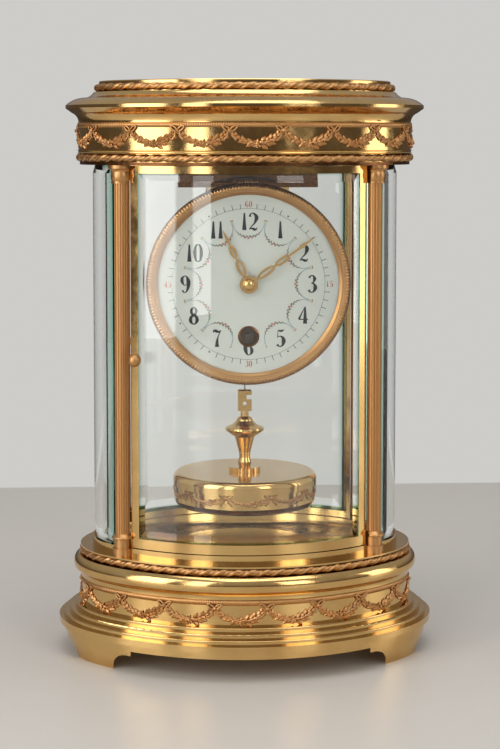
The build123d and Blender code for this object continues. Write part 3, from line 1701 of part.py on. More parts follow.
# Pendulum: hook block, turned finial, hollow disc and the rating dial between them
with BuildPart() as hook_block:
    with BuildSketch(Plane.XZ.offset(-pendulum_setback - hook_half_depth)):
        with Locations((0, (hook_bottom + hook_top) / 2)):
            Rectangle(2 * hook_half_width, hook_top - hook_bottom)
        with Locations((hook_half_width, hook_notch_bottom + hook_notch_height / 2)):
            Rectangle(2 * hook_notch_depth, hook_notch_height, mode=Mode.SUBTRACT)
        with Locations((0, hook_eye_height)):
            Circle(hook_eye_radius, mode=Mode.SUBTRACT)
    extrude(amount=2 * hook_half_depth)
    chamfer(hook_block.faces().sort_by(Axis.Z)[-1].edges(), hook_edge)
    with BuildSketch(Plane.XY.offset(strip_hole_bottom)):
        with Locations(pendulum_spot):
            Circle(strip_hole_radius)
    extrude(amount=hook_top - strip_hole_bottom, mode=Mode.SUBTRACT)
save(hook_block.part, "hook_block")

finial = turned(
    [
        (0, hook_bottom),
        (neck_radius, hook_bottom),
        (neck_radius, neck_bottom),
        (bell_shoulder_radius, bell_shoulder_height, bell_edge / 2),
        (bell_step_radius, bell_step_height),
        (bell_radius - bell_edge / 2, bell_height + bell_edge),
        (bell_radius, bell_height),
        (bell_radius - bell_edge / 2, bell_height - bell_edge),
        (collar_radius, collar_height),
        (cone_radius, cone_top),
        (cone_foot_radius, cone_bottom),
        (waist_radius, waist_height),
        (bead_ring_radius, bead_ring_height),
        (stem_radius, rate_dial_top + fit_gap),
        (stem_radius, disc_top),
        (spigot_radius, disc_top),
        (spigot_radius, disc_top - disc_top_thickness),
        (0, disc_top - disc_top_thickness),
    ],
    [pendulum_spot],
)
save(finial, "finial")

with BuildPart() as rate_dial:
    with BuildSketch(Plane.XY.offset(disc_top + fit_gap)):
        with Locations(pendulum_spot):
            Circle(rate_dial_radius)
            Circle(stem_radius + fit_gap, mode=Mode.SUBTRACT)
            with PolarLocations(rate_dial_radius, knurl_count):
                Circle(knurl_radius, mode=Mode.SUBTRACT)
    extrude(amount=rate_dial_top - disc_top - fit_gap)
save(rate_dial.part, "rate_dial")

disc_shell = turned(
    [
        (spigot_radius + fit_gap, disc_top - disc_top_thickness),
        (spigot_radius + fit_gap, disc_top),
        (disc_flat_radius, disc_top),
        (disc_radius, disc_band_top, disc_shoulder_bow),
        (disc_radius, disc_band_bottom),
        (disc_frieze_radius, disc_band_bottom),
        (disc_frieze_radius, disc_frieze_bottom),
        (disc_lip_radius, disc_bottom, disc_foot_bow),
        (0, disc_bottom),
        (0, disc_bottom + disc_floor_thickness),
        (disc_lip_radius - disc_wall, disc_bottom + disc_floor_thickness),
        (disc_frieze_radius - disc_wall, disc_frieze_bottom + disc_wall),
        (disc_frieze_radius - disc_wall, disc_band_top),
        (disc_flat_radius - disc_wall, disc_top - disc_top_thickness),
    ],
    [pendulum_spot],
)
save(disc_shell, "disc_shell")
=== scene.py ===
"""Looks of an oval torsion pendulum clock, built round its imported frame."""

import json
import math

import bpy
from mathutils import Matrix, Vector


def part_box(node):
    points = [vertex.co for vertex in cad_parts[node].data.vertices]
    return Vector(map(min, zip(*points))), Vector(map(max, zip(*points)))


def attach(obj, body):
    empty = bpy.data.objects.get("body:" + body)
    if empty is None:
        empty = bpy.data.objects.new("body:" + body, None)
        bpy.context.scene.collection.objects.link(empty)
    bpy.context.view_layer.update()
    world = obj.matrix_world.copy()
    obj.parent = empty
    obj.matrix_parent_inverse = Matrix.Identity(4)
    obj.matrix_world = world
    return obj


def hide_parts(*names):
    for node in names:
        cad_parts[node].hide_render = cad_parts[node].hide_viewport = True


bl_info = {
    "name": "Oval pendulum clock",
    "version": (1, 0, 0),
    "blender": (4, 5, 0),
    "location": "3D View > Sidebar > Clock",
    "description": "Dresses the frame of an oval torsion pendulum clock",
    "category": "Object",
}

MM = 0.001
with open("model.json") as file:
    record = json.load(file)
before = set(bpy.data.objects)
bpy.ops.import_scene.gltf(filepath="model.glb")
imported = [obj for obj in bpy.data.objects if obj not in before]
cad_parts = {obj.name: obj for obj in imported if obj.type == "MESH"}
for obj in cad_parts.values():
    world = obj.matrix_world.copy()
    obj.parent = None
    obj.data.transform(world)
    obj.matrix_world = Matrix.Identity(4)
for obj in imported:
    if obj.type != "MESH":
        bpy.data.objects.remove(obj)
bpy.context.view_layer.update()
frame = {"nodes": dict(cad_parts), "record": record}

# Plan of the case: the oval's four arcs, each with its centre, its first bearing, its angle and what its
# radius adds to a ring's reach. The reach is half the ring's length.
END_OFFSET = 39.0 * MM
SIDE_OFFSET = 37.8 * MM
END_BEARING = math.atan2(SIDE_OFFSET, END_OFFSET)
SIDE_SHIFT = math.hypot(END_OFFSET, SIDE_OFFSET) - END_OFFSET
OVAL_ARCS = (
    ((0, SIDE_OFFSET), math.pi + END_BEARING, math.pi - 2 * END_BEARING, SIDE_SHIFT),
    ((END_OFFSET, 0), -END_BEARING, 2 * END_BEARING, -END_OFFSET),
    ((0, -SIDE_OFFSET), END_BEARING, math.pi - 2 * END_BEARING, SIDE_SHIFT),
    ((-END_OFFSET, 0), math.pi - END_BEARING, 2 * END_BEARING, -END_OFFSET),
)

# The enamel lies this far behind the front of the winding hole's ring
GROMMET_PROUD = 0.5 * MM
DIAL_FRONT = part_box("winding_grommet")[0][1] + GROMMET_PROUD
DIAL_CENTRE = Vector((0, 0, 187.6 * MM))
PENDULUM_AXIS = Vector((0, 4.0 * MM, 0))


def oval_length(reach):
    """Length round the oval at a reach."""
    return sum(span * (reach + shift) for centre, bearing, span, shift in OVAL_ARCS)


def oval_spot(reach, travel, out):
    """Point on the oval after a travel from the front's middle, moved outwards by out."""
    travel = (travel + OVAL_ARCS[0][2] * (reach + SIDE_SHIFT) / 2) % oval_length(reach)
    for centre, bearing, span, shift in OVAL_ARCS:
        length = span * (reach + shift)
        if travel <= length:
            break
        travel -= length
    angle = bearing + span * travel / length
    return Vector((*centre, 0)) + Vector((math.cos(angle), math.sin(angle), 0)) * (reach + shift + out)


def dial_spot(reach, turn, depth):
    """Point at a reach from the dial's middle and a depth along Y."""
    return DIAL_CENTRE + Vector((reach * math.cos(turn), depth, reach * math.sin(turn)))


# Settings


def length_property(label, description, value):
    """Length setting in metres."""
    return bpy.props.FloatProperty(name=label, description=description, default=value, unit="LENGTH")


def count_property(label, description, value, least):
    """Whole number setting."""
    return bpy.props.IntProperty(name=label, description=description, default=value, min=least)


def colour_property(label, description, value):
    """Colour setting with a default given as sRGB bytes."""
    linear = [((v / 255 + 0.055) / 1.055) ** 2.4 if v > 10 else v / 255 / 12.92 for v in value]
    return bpy.props.FloatVectorProperty(
        name=label, description=description, subtype="COLOR", size=3, min=0, max=1, default=linear
    )


class ClockSizes(bpy.types.PropertyGroup):
    """Sizes of the clock's ornament."""

    rope_lead: length_property("Rope lead", "Length in which a rope's strands go once round", 14 * MM)
    rib_pitch: length_property("Rib pitch", "Distance between the ribs of the reeded strips", 1.15 * MM)
    swag_drop: length_property("Swag drop", "How far a garland hangs between its bows", 6.2 * MM)
    leaf_length: length_property("Leaf length", "Length of a garland's leaf", 2.9 * MM)
    numeral_height: length_property("Numeral height", "Height of the hour numerals", 8.4 * MM)
    numeral_ring: length_property("Numeral ring", "Radius of the circle through the hour numerals", 30.8 * MM)
    minute_ring: length_property("Minute ring", "Radius of the minute track", 38.4 * MM)
    bezel_ribs: count_property("Bezel ribs", "Ribs milled round the bezel", 200, 24)
    garlands: count_property("Garlands", "Garlands round each frieze", 18, 4)


class ClockColours(bpy.types.PropertyGroup):
    """Colours of the clock's finishes and of its surroundings."""

    brass: colour_property("Brass", "Polished brass", (220, 184, 122))
    brass_warm: colour_property("Warm brass", "Polished brass where the lacquer has toned", (196, 150, 90))
    gilt: colour_property("Gilt", "Copper-toned gilding", (196, 148, 98))
    # Colour of the painted shade in the copper gilt castings' hollows, and the toned colour of the bronzed
    # floor
    gilt_deep: colour_property("Deep gilt", "Gilding in the hollows", (84, 52, 28))
    gilt_bright: colour_property("Bright gilt", "Gilding of the hands", (220, 180, 124))
    floor_brown: colour_property("Bronzed floor", "Bronzed floor inside the case", (112, 74, 46))
    silver: colour_property("Silvered disc", "Silvered disc on the floor", (232, 228, 218))
    enamel: colour_property("Enamel", "Enamel of the dial", (246, 250, 243))
    numeral: colour_property("Numerals", "Ink of the hour numerals", (30, 36, 44))
    red: colour_property("Red figures", "Ink of the quarter figures", (190, 62, 44))
    leaf_green: colour_property("Painted leaves", "Painted leaves on the dial", (108, 128, 84))
    ribbon_blue: colour_property("Painted ribbon", "Painted ribbons on the dial", (120, 146, 160))
    rose: colour_property("Painted flowers", "Painted flowers on the dial", (196, 128, 132))
    glass_edge: colour_property("Glass edge", "Tint of the glass at its edges", (64, 158, 128))
    steel: colour_property("Steel", "Turned steel", (190, 190, 192))
    wall: colour_property("Wall", "Backdrop behind the clock", (205, 204, 201))
    table: colour_property("Table", "Pale table top", (206, 200, 192))


# Shader groups and materials


def put(tree, socket, value):
    """Sets a socket's value, or links another socket to it."""
    if isinstance(value, bpy.types.NodeSocket):
        tree.links.new(value, socket)
    elif socket.type == "RGBA":
        socket.default_value = (*value, 1)
    else:
        socket.default_value = value


def add_node(tree, kind, **sockets):
    """Node with its sockets set or linked; an underscore in a socket's name is a space."""
    node = tree.nodes.new(kind)
    for label, value in sockets.items():
        put(tree, node.inputs[label.replace("_", " ")], value)
    return node


def sum_up(tree, operation, *values):
    """Math node over values or sockets."""
    node = tree.nodes.new("ShaderNodeMath")
    node.operation = operation
    for socket, value in zip(node.inputs, values):
        put(tree, socket, value)
    return node.outputs[0]


def mixed(tree, factor, first, second):
    """Colour mixed from two by a factor. The Mix node's other sockets are for numbers and vectors."""
    node = tree.nodes.new("ShaderNodeMix")
    node.data_type = "RGBA"
    put(tree, node.inputs[0], factor)
    put(tree, node.inputs[6], first)
    put(tree, node.inputs[7], second)
    return node.outputs[2]


def object_place(tree):
    """Place on the piece, in metres."""
    return add_node(tree, "ShaderNodeTexCoord").outputs["Object"]


def noise(tree, place, scale, detail, roughness=0.5):
    """Cloudy pattern over a place."""
    node = add_node(tree, "ShaderNodeTexNoise", Vector=place, Scale=scale, Detail=detail, Roughness=roughness)
    return node.outputs["Fac"]


def ranged(tree, value, start, end):
    """Mask that goes from 0 to 1 as a value goes from start to end."""
    return add_node(tree, "ShaderNodeMapRange", Value=value, From_Min=start, From_Max=end).outputs["Result"]


def roughen(tree, shader, strength, height):
    """Gives a shader a fine bump."""
    bump = add_node(tree, "ShaderNodeBump", Strength=strength, Distance=MM, Height=height)
    put(tree, shader.inputs["Normal"], bump.outputs["Normal"])


WHITE = (1, 1, 1, 1)
GREY = (0.5, 0.5, 0.5, 1)


def node_group(name, inputs, outputs):
    """Empty shader group and its two end nodes, with a colour or number socket for each default."""
    group = bpy.data.node_groups.new(name, "ShaderNodeTree")
    for side, sockets in (("INPUT", inputs), ("OUTPUT", outputs)):
        for label, value in sockets.items():
            kind = "NodeSocketColor" if isinstance(value, tuple) else "NodeSocketFloat"
            socket = group.interface.new_socket(label, in_out=side, socket_type=kind)
            socket.default_value = value
    return group, group.nodes.new("NodeGroupInput"), group.nodes.new("NodeGroupOutput")


def place_group(tree, name, **values):
    """Copy of a shader group in a material, with its inputs set or linked."""
    node = tree.nodes.new("ShaderNodeGroup")
    node.node_tree = bpy.data.node_groups[name]
    for label, value in values.items():
        put(tree, node.inputs[label], value)
    return node


def make_patina_group():
    """Group that mottles a metal between two colours, smudges its polish and gives it a fine grain."""
    group, start, end = node_group(
        "Patina",
        {"Colour": WHITE, "Toned": GREY, "Amount": 0.5, "Polish": 0.1, "Smudge": 0.1},
        {"Colour": WHITE, "Roughness": 0.5, "Height": 0.5},
    )
    place = object_place(group)
    clouds = ranged(group, noise(group, place, scale=38.0, detail=4.0, roughness=0.6), 0.38, 0.68)
    handled = ranged(group, noise(group, place, scale=130.0, detail=5.0, roughness=0.65), 0.4, 0.75)
    grain = noise(group, place, scale=1400.0, detail=2.0)
    spread = sum_up(group, "MULTIPLY", clouds, start.outputs["Amount"])
    smudges = sum_up(group, "MULTIPLY", handled, start.outputs["Smudge"])
    put(group, end.inputs["Colour"], mixed(group, spread, start.outputs["Colour"], start.outputs["Toned"]))
    put(group, end.inputs["Roughness"], sum_up(group, "ADD", start.outputs["Polish"], smudges))
    put(group, end.inputs["Height"], grain)


def make_crevice_group():
    """Group that paints shade into the hollows of a casting by darkening its colour there, and rubs its high
    points bright.
    """
    group, start, end = node_group(
        "Crevices", {"Colour": WHITE, "Hollows": GREY, "Rubbed": WHITE}, {"Colour": WHITE}
    )
    point = add_node(group, "ShaderNodeNewGeometry").outputs["Pointiness"]
    # Painted shade: the colour darkens towards the shade colour where the surface is hollow
    painted_shade = ranged(group, point, 0.5, 0.42)
    worn = ranged(group, point, 0.52, 0.62)
    shaded = mixed(group, painted_shade, start.outputs["Colour"], start.outputs["Hollows"])
    put(group, end.inputs["Colour"], mixed(group, worn, shaded, start.outputs["Rubbed"]))


def new_material(name):
    """Node tree and shader of a new material."""
    finish = bpy.data.materials.new(name)
    finish.use_nodes = True
    return finish.node_tree, finish.node_tree.nodes["Principled BSDF"]


def metal(name, colour, toned, amount, polish, smudge, bump, hollows=None):
    """Metal with patina, smudges and grain; a casting also has painted shade in its hollows and rubbed high
    points.
    """
    tree, shader = new_material(name)
    patina = place_group(
        tree, "Patina", Colour=colour, Toned=toned, Amount=amount, Polish=polish, Smudge=smudge
    )
    tone = patina.outputs["Colour"]
    if hollows is not None:
        # A casting gets painted shade in its hollows, and its high points rubbed back to the untoned colour
        shade_and_wear = place_group(tree, "Crevices", Colour=tone, Hollows=hollows, Rubbed=colour)
        tone = shade_and_wear.outputs["Colour"]
    put(tree, shader.inputs["Base Color"], tone)
    put(tree, shader.inputs["Roughness"], patina.outputs["Roughness"])
    shader.inputs["Metallic"].default_value = 1.0
    roughen(tree, shader, bump, patina.outputs["Height"])


def printed(name, colour):
    """Fired colour on the dial, a little uneven."""
    tree, shader = new_material(name)
    blots = noise(tree, object_place(tree), scale=900.0, detail=3.0)
    pale = [min(1.0, c * 1.35 + 0.01) for c in colour]
    put(tree, shader.inputs["Base Color"], mixed(tree, blots, colour, pale))
    shader.inputs["Roughness"].default_value = 0.3


def make_enamel(colour):
    """Off-white enamel: clear, glossy, with a faint cloudiness and a shallow ripple."""
    tree, shader = new_material("enamel")
    place = object_place(tree)
    clouds = noise(tree, place, scale=45.0, detail=3.0)
    ripple = noise(tree, place, scale=160.0, detail=1.0)
    deep = [c * 0.94 for c in colour]
    put(tree, shader.inputs["Base Color"], mixed(tree, clouds, colour, deep))
    shader.inputs["Roughness"].default_value = 0.22
    shader.inputs["Coat Weight"].default_value = 0.3
    roughen(tree, shader, 0.03, ripple)


def make_glass(name, tint, edges):
    """Clear glass that takes a tint near the given edge planes: (axis index, place, width) in metres."""
    tree, shader = new_material(name)
    parts = add_node(tree, "ShaderNodeSeparateXYZ", Vector=object_place(tree)).outputs
    mask = None
    for axis, edge, width in edges:
        across = sum_up(tree, "ABSOLUTE", parts[axis]) if axis < 2 else parts[axis]
        gap = sum_up(tree, "ABSOLUTE", sum_up(tree, "SUBTRACT", across, edge))
        near = ranged(tree, gap, width, 0.0)
        mask = near if mask is None else sum_up(tree, "MAXIMUM", mask, near)
    clear = (0.97, 0.99, 0.98)
    put(tree, shader.inputs["Base Color"], mixed(tree, mask, clear, tint))
    shader.inputs["Roughness"].default_value = 0.0
    shader.inputs["IOR"].default_value = 1.5
    shader.inputs["Transmission Weight"].default_value = 1.0


# Modelling helpers


def deselect():
    """Leaves nothing selected."""
    bpy.ops.object.select_all(action="DESELECT")


def named(name):
    """Names the active object and its mesh."""
    piece = bpy.context.object
    piece.name = name
    piece.data.name = name
    return piece


def only(piece):
    """Makes one piece the only one selected."""
    deselect()
    piece.select_set(True)
    bpy.context.view_layer.objects.active = piece


def woven_grid(name, along, across, place):
    """Grid whose points are laid by a rule place(u, v), with its seams and poles closed."""
    deselect()
    bpy.ops.mesh.primitive_grid_add(x_subdivisions=along, y_subdivisions=across, size=1)
    piece = named(name)
    for point in piece.data.vertices:
        point.co = place(point.co.x + 0.5, point.co.y + 0.5)
    bpy.ops.object.mode_set(mode="EDIT")
    bpy.ops.mesh.select_all(action="SELECT")
    bpy.ops.mesh.remove_doubles(threshold=MM / 500)
    bpy.ops.mesh.normals_make_consistent(inside=False)
    bpy.ops.object.mode_set(mode="OBJECT")
    bpy.ops.object.shade_smooth()
    return piece


def fill_ends(piece):
    """Closes the open ends of a piece."""
    only(piece)
    bpy.ops.object.mode_set(mode="EDIT")
    bpy.ops.mesh.select_all(action="SELECT")
    bpy.ops.mesh.fill_holes(sides=0)
    bpy.ops.mesh.normals_make_consistent(inside=False)
    bpy.ops.object.mode_set(mode="OBJECT")


def joined(name, pieces):
    """One piece made of several."""
    deselect()
    for piece in pieces:
        piece.select_set(True)
    bpy.context.view_layer.objects.active = pieces[0]
    bpy.ops.object.join()
    return named(name)


def mapped_copy(piece, rule):
    """Copy of a piece with its own mesh, whose points are laid by a rule."""
    copy = piece.copy()
    copy.data = piece.data.copy()
    bpy.context.collection.objects.link(copy)
    for point in copy.data.vertices:
        point.co = rule(point.co)
    return copy


def laid_out(piece, angle, x, y, z, size):
    """Copy of a small piece, turned in its plane, scaled and moved."""
    turn = Matrix.Rotation(angle, 3, "Z")
    return mapped_copy(piece, lambda co: turn @ (co * size) + Vector((x, y, z)))


def repeated(name, pattern, seats, rule):
    """One piece with a copy of a pattern on each seat, its points laid by rule(seat, point)."""
    copies = [mapped_copy(pattern, lambda co: rule(seat, co)) for seat in seats]
    bpy.data.objects.remove(pattern)
    return joined(name, copies)


def give(piece, finish):
    """Makes the material of this name the piece's only one."""
    piece.data.materials.clear()
    piece.data.materials.append(bpy.data.materials[finish])


def dress(piece, body, finish, replaces=()):
    """Gives a finished piece its material and its body, and hides the nodes of the frame that it replaces."""
    give(piece, finish)
    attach(piece, body)
    if replaces:
        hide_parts(*replaces)


# Metals: colour, toned colour and its amount, polish, smudges, grain, and the colour of the shade painted into
# a casting's hollows.
# A colour is a setting's name or its linear values.
METALS = (
    ("polished brass", "brass", "brass_warm", 0.55, 0.09, 0.12, 0.015),
    # Copper gilt: its last colour is the painted shade in its hollows
    ("copper gilt", "gilt", "brass_warm", 0.4, 0.36, 0.15, 0.06, "gilt_deep"),
    ("turned gilt", "gilt", "brass_warm", 0.35, 0.34, 0.15, 0.04),
    ("bright gilt", "gilt_bright", "brass", 0.4, 0.18, 0.1, 0.02),
    ("bronzed floor", "floor_brown", "gilt_deep", 0.7, 0.2, 0.2, 0.03),
    ("silvered disc", "silver", "brass", 0.12, 0.05, 0.06, 0.01),
    ("blued steel", (0.16, 0.13, 0.11), (0.08, 0.06, 0.05), 0.5, 0.35, 0.15, 0.03),
    ("turned steel", "steel", (0.3, 0.27, 0.25), 0.3, 0.22, 0.12, 0.03),
)
# Inks and paints of the dial: colour and how strong it is
PRINTS = (
    ("numeral ink", "numeral", 1.0),
    ("red ink", "red", 1.0),
    ("painted leaf", "leaf_green", 1.0),
    ("painted ribbon", "ribbon_blue", 1.0),
    ("painted rose", "rose", 1.0),
    ("painted gold", "gilt_bright", 0.7),
)
# Finish of a node of the frame: by its name, or else by its slot, or else polished brass
NODE_FINISHES = {
    "front_door_glass": "door glass",
    "rear_door_glass": "door glass",
    "side_glass_left": "side glass",
    "side_glass_right": "side glass",
    "front_door_knob": "turned gilt",
    "rear_door_knob": "turned gilt",
    "winding_grommet": "bronzed floor",
    "winding_arbor": "blued steel",
}
SLOT_FINISHES = {
    "copper_gilt": "turned gilt",
    "bronzed_floor": "bronzed floor",
    "silvered_disc": "silvered disc",
    "enamel_dial": "enamel",
    "steel": "turned steel",
    "spring_steel": "turned steel",
    "gilt_hands": "bright gilt",
}
# Widths of the green edges of the glasses
DOOR_EDGE = 2.4 * MM
SIDE_EDGE = 1.7 * DOOR_EDGE


class CLOCK_OT_finishes(bpy.types.Operator):
    """Makes the clock's materials and gives each node of the frame its own"""

    bl_idname = "clock.finishes"
    bl_label = "Finishes"

    def execute(self, context):
        colours = context.scene.clock_colours
        make_patina_group()
        make_crevice_group()
        for name, *values in METALS:
            metal(name, *(getattr(colours, value) if isinstance(value, str) else value for value in values))
        for name, colour, strength in PRINTS:
            printed(name, [c * strength for c in getattr(colours, colour)])
        make_enamel(colours.enamel)
        low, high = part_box("front_door_glass")
        edges = ((0, high[0], DOOR_EDGE), (2, low[2], DOOR_EDGE), (2, high[2], DOOR_EDGE))
        make_glass("door glass", colours.glass_edge, edges)
        low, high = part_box("side_glass_right")
        edges = ((1, high[1], SIDE_EDGE), (2, low[2], DOOR_EDGE), (2, high[2], DOOR_EDGE))
        make_glass("side glass", colours.glass_edge, edges)
        slots = {part["node"]: part["material_slot"] for part in frame["record"]["subparts"]}
        for node, piece in frame["nodes"].items():
            give(piece, NODE_FINISHES.get(node, SLOT_FINISHES.get(slots[node], "polished brass")))
        return {"FINISHED"}


# Table top, in metres
TABLE_SIZE = 2.8
TABLE_MIDDLE = (0, -0.98, 0)
# Soft lamps: name, place, the spot that it faces, width and height, watts, tint
MID_CLOCK = (0, 0, 0.15)
DAYLIGHT = (1.0, 0.99, 0.97)
LAMPS = (
    ("window_left", (-1.1, -0.7, 0.6), MID_CLOCK, (0.6, 1.3), 9, DAYLIGHT),
    ("window_narrow", (-0.62, -1.15, 0.6), MID_CLOCK, (0.3, 1.2), 3.5, DAYLIGHT),
    ("window_front", (0.8, -1.4, 0.8), MID_CLOCK, (0.5, 1.0), 5, DAYLIGHT),
    ("ceiling_glow", (0.1, -0.2, 1.5), (0, 0.05, 0.1), (1.1, 1.1), 9, (0.95, 0.98, 1.0)),
    ("right_glow", (1.3, -0.15, 0.4), MID_CLOCK, (0.4, 0.9), 3, (1.0, 0.97, 0.92)),
)
# The room's tones straight below, straight above, and between these at shares of the way up
ROOM_FLOOR = (0.13, 0.10, 0.08)
ROOM_CEILING = (0.46, 0.47, 0.48)
ROOM_WALLS = ((0.46, (0.06, 0.05, 0.04)), (0.53, (0.14, 0.12, 0.11)), (0.66, (0.34, 0.33, 0.33)))
# Camera: lens and sensor in millimetres, turn to the left and pitch down in degrees, place in metres
CAMERA_LENS = 86.75
CAMERA_SENSOR = 36
CAMERA_SHIFT = (0.0066, -0.1467)
CAMERA_TURN = 3.17
CAMERA_PITCH = 4
CAMERA_DISTANCE = 0.9157
CAMERA_HEIGHT = 0.259


class CLOCK_OT_stage(bpy.types.Operator):
    """Sets up the pale table, the soft daylight, the room with its pale backdrop, and the camera"""

    bl_idname = "clock.stage"
    bl_label = "Stage"

    def execute(self, context):
        colours = context.scene.clock_colours
        self.lay_table(colours.table)
        for name, spot, aim, size, power, tint in LAMPS:
            lamp = bpy.data.lights.new(name, "AREA")
            lamp.shape = "RECTANGLE"
            lamp.size, lamp.size_y = size
            lamp.energy = power
            lamp.color = tint
            holder = bpy.data.objects.new(name, lamp)
            holder.location = spot
            holder.rotation_euler = (Vector(aim) - Vector(spot)).to_track_quat("-Z", "Y").to_euler()
            context.collection.objects.link(holder)
        self.paint_room(context.scene, colours.wall)
        self.set_camera(context)
        context.scene.view_settings.view_transform = "Standard"
        return {"FINISHED"}

    def lay_table(self, colour):
        """Adds the table top, a little uneven in colour."""
        tree, shader = new_material("table top")
        blots = noise(tree, object_place(tree), scale=60.0, detail=4.0)
        put(tree, shader.inputs["Base Color"], mixed(tree, blots, colour, [c * 0.95 for c in colour]))
        shader.inputs["Roughness"].default_value = 0.35
        deselect()
        bpy.ops.mesh.primitive_grid_add(
            x_subdivisions=8, y_subdivisions=8, size=TABLE_SIZE, location=TABLE_MIDDLE
        )
        floor = named("table_top")
        give(floor, "table top")

    def paint_room(self, scene, wall):
        """Lights the clock by the room's tones, while the camera and the glass show the plain backdrop."""
        world = bpy.data.worlds.new("room")
        scene.world = world
        world.use_nodes = True
        tree = world.node_tree
        direction = add_node(tree, "ShaderNodeTexCoord").outputs["Generated"]
        height = add_node(tree, "ShaderNodeSeparateXYZ", Vector=direction).outputs["Z"]
        ramp = add_node(tree, "ShaderNodeValToRGB", Fac=sum_up(tree, "MULTIPLY_ADD", height, 0.5, 0.5))
        stops = ramp.color_ramp.elements
        stops[0].color = (*ROOM_FLOOR, 1)
        stops[1].color = (*ROOM_CEILING, 1)
        for share, tone in ROOM_WALLS:
            stops.new(share).color = (*tone, 1)
        rays = add_node(tree, "ShaderNodeLightPath").outputs
        seen = sum_up(tree, "MAXIMUM", rays["Is Camera Ray"], rays["Is Transmission Ray"])
        background = tree.nodes["Background"]
        put(tree, background.inputs["Color"], mixed(tree, seen, ramp.outputs["Color"], wall))
        background.inputs["Strength"].default_value = 1.0

    def set_camera(self, context):
        """Adds the camera at the photograph's viewing angle."""
        camera = bpy.data.cameras.new("camera")
        camera.sensor_fit = "VERTICAL"
        camera.sensor_height = CAMERA_SENSOR
        camera.lens = CAMERA_LENS
        camera.shift_x, camera.shift_y = CAMERA_SHIFT
        camera.clip_start = 0.01
        viewer = bpy.data.objects.new("camera", camera)
        turn = math.radians(CAMERA_TURN)
        place = (-CAMERA_DISTANCE * math.sin(turn), -CAMERA_DISTANCE * math.cos(turn), CAMERA_HEIGHT)
        viewer.location = place
        viewer.rotation_euler = (math.radians(90 - CAMERA_PITCH), 0, -turn)
        context.collection.objects.link(viewer)
        context.scene.camera = viewer


# Ropes: length of a face along the rope, faces round it, and shares of the rope's radius
ROPE_STEP = 0.75 * MM
ROPE_SIDES = 28
THICK_GROOVE = 0.42
THIN_SIZE = 0.86
THIN_GROOVE = 0.24
THIN_EDGE = 0.12


def rope_girth(phase):
    """Share of a rope's radius at a phase of its twist: a thick strand, then thin ones beside it."""
    if phase < math.pi:
        return 1 - THICK_GROOVE * (1 - math.sin(phase)) ** 2
    thin = phase - math.pi
    return THIN_SIZE - THIN_GROOVE * (1 - abs(math.sin(1.5 * thin))) ** 1.5 - THIN_EDGE * math.cos(thin) ** 6


class CLOCK_OT_ropes(bpy.types.Operator):
    """Models the three twisted ropes round the case"""

    bl_idname = "clock.ropes"
    bl_label = "Ropes"

    def execute(self, context):
        for node in ("base_rope", "cornice_rope", "crown_rope"):
            low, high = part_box(node)
            radius = (high[2] - low[2]) / 2
            reach = high[0] - radius
            level = (high[2] + low[2]) / 2
            length = oval_length(reach)
            turns = round(length / context.scene.clock_sizes.rope_lead)

            def place(u, v):
                angle = math.tau * v
                girth = radius * rope_girth((2 * (angle - math.tau * turns * u)) % math.tau)
                spot = oval_spot(reach, u * length, girth * math.cos(angle))
                return spot + Vector((0, 0, level + girth * math.sin(angle)))

            rope = woven_grid(node + "_twist", round(length / ROPE_STEP), ROPE_SIDES, place)
            dress(rope, "case", "copper gilt", replaces=[node])
        return {"FINISHED"}


# A leaf's outline follows this part of a half wave, and is this full
LEAF_WAVE_START = 0.06
LEAF_WAVE = 0.9
LEAF_FULLNESS = 0.8
# Its sides' fall from the midrib, its rise off its ground and its thickness, in shares of its lift
LEAF_SIDE_FALL = 0.75
LEAF_RISE = 0.12
LEAF_THICKNESS = 0.5
# A berry's middle is this share of its half height over its ground
BERRY_MIDDLE = 0.6
RIBBON_SIDES = 6


def leaf(length, width, lift):
    """Pointed leaf along +X with a raised midrib, closed underneath."""
    deselect()
    bpy.ops.mesh.primitive_grid_add(x_subdivisions=4, y_subdivisions=2, size=1)
    piece = named("leaf")
    for point in piece.data.vertices:
        u, v = point.co.x + 0.5, point.co.y * 2
        swell = math.sin(math.pi * min(1.0, u * LEAF_WAVE + LEAF_WAVE_START)) ** LEAF_FULLNESS
        rise = lift * swell * (1 - LEAF_SIDE_FALL * abs(v)) + LEAF_RISE * lift
        point.co = (u * length, v * swell * width / 2, rise)
    skin = piece.modifiers.new("skin", "SOLIDIFY")
    skin.thickness = lift * LEAF_THICKNESS
    skin.offset = -1
    bpy.ops.object.modifier_apply(modifier="skin")
    return piece


def berry(radius, flatness):
    """Small closed bead, flattened along Z and sunk a little into the ground."""
    deselect()
    bpy.ops.mesh.primitive_ico_sphere_add(subdivisions=1, radius=radius)
    piece = named("berry")
    for point in piece.data.vertices:
        point.co.z = point.co.z * flatness + radius * flatness * BERRY_MIDDLE
    return piece


def ribbon(spots, width, thickness, lift):
    """Flat band through (x, y) spots, with closed sides."""
    count = len(spots) - 1
    line = [Vector((x, y)) for x, y in spots]

    def place(u, v):
        index = round(u * count)
        here = line[index]
        ahead = line[min(count, index + 1)] - line[max(0, index - 1)]
        normal = Vector((-ahead.y, ahead.x)).normalized()
        angle = math.tau * v
        side = normal * (math.cos(angle) * width / 2)
        return Vector((here.x + side.x, here.y + side.y, lift + thickness * (0.5 + 0.5 * math.sin(angle))))

    piece = woven_grid("ribbon", count, RIBBON_SIDES, place)
    fill_ends(piece)
    return piece


# Leaves stand in threes along a swag, larger towards its middle: two outer ones, which lean by more and less in
# turn, and a smaller one on top
SWAG_LEAVES = 13
BLADE_WIDTH = 0.52
BLADE_LIFT = 0.75 * MM
END_LEAF, MIDDLE_LEAF_GAIN = 0.75, 0.55
WIDE_LEAN, NARROW_LEAN = 0.75, 0.45
OUTER_OFFSET, OUTER_RISE = 0.4 * MM, 0.05 * MM
TOP_RISE, TOP_LEAF = 0.4 * MM, 0.8
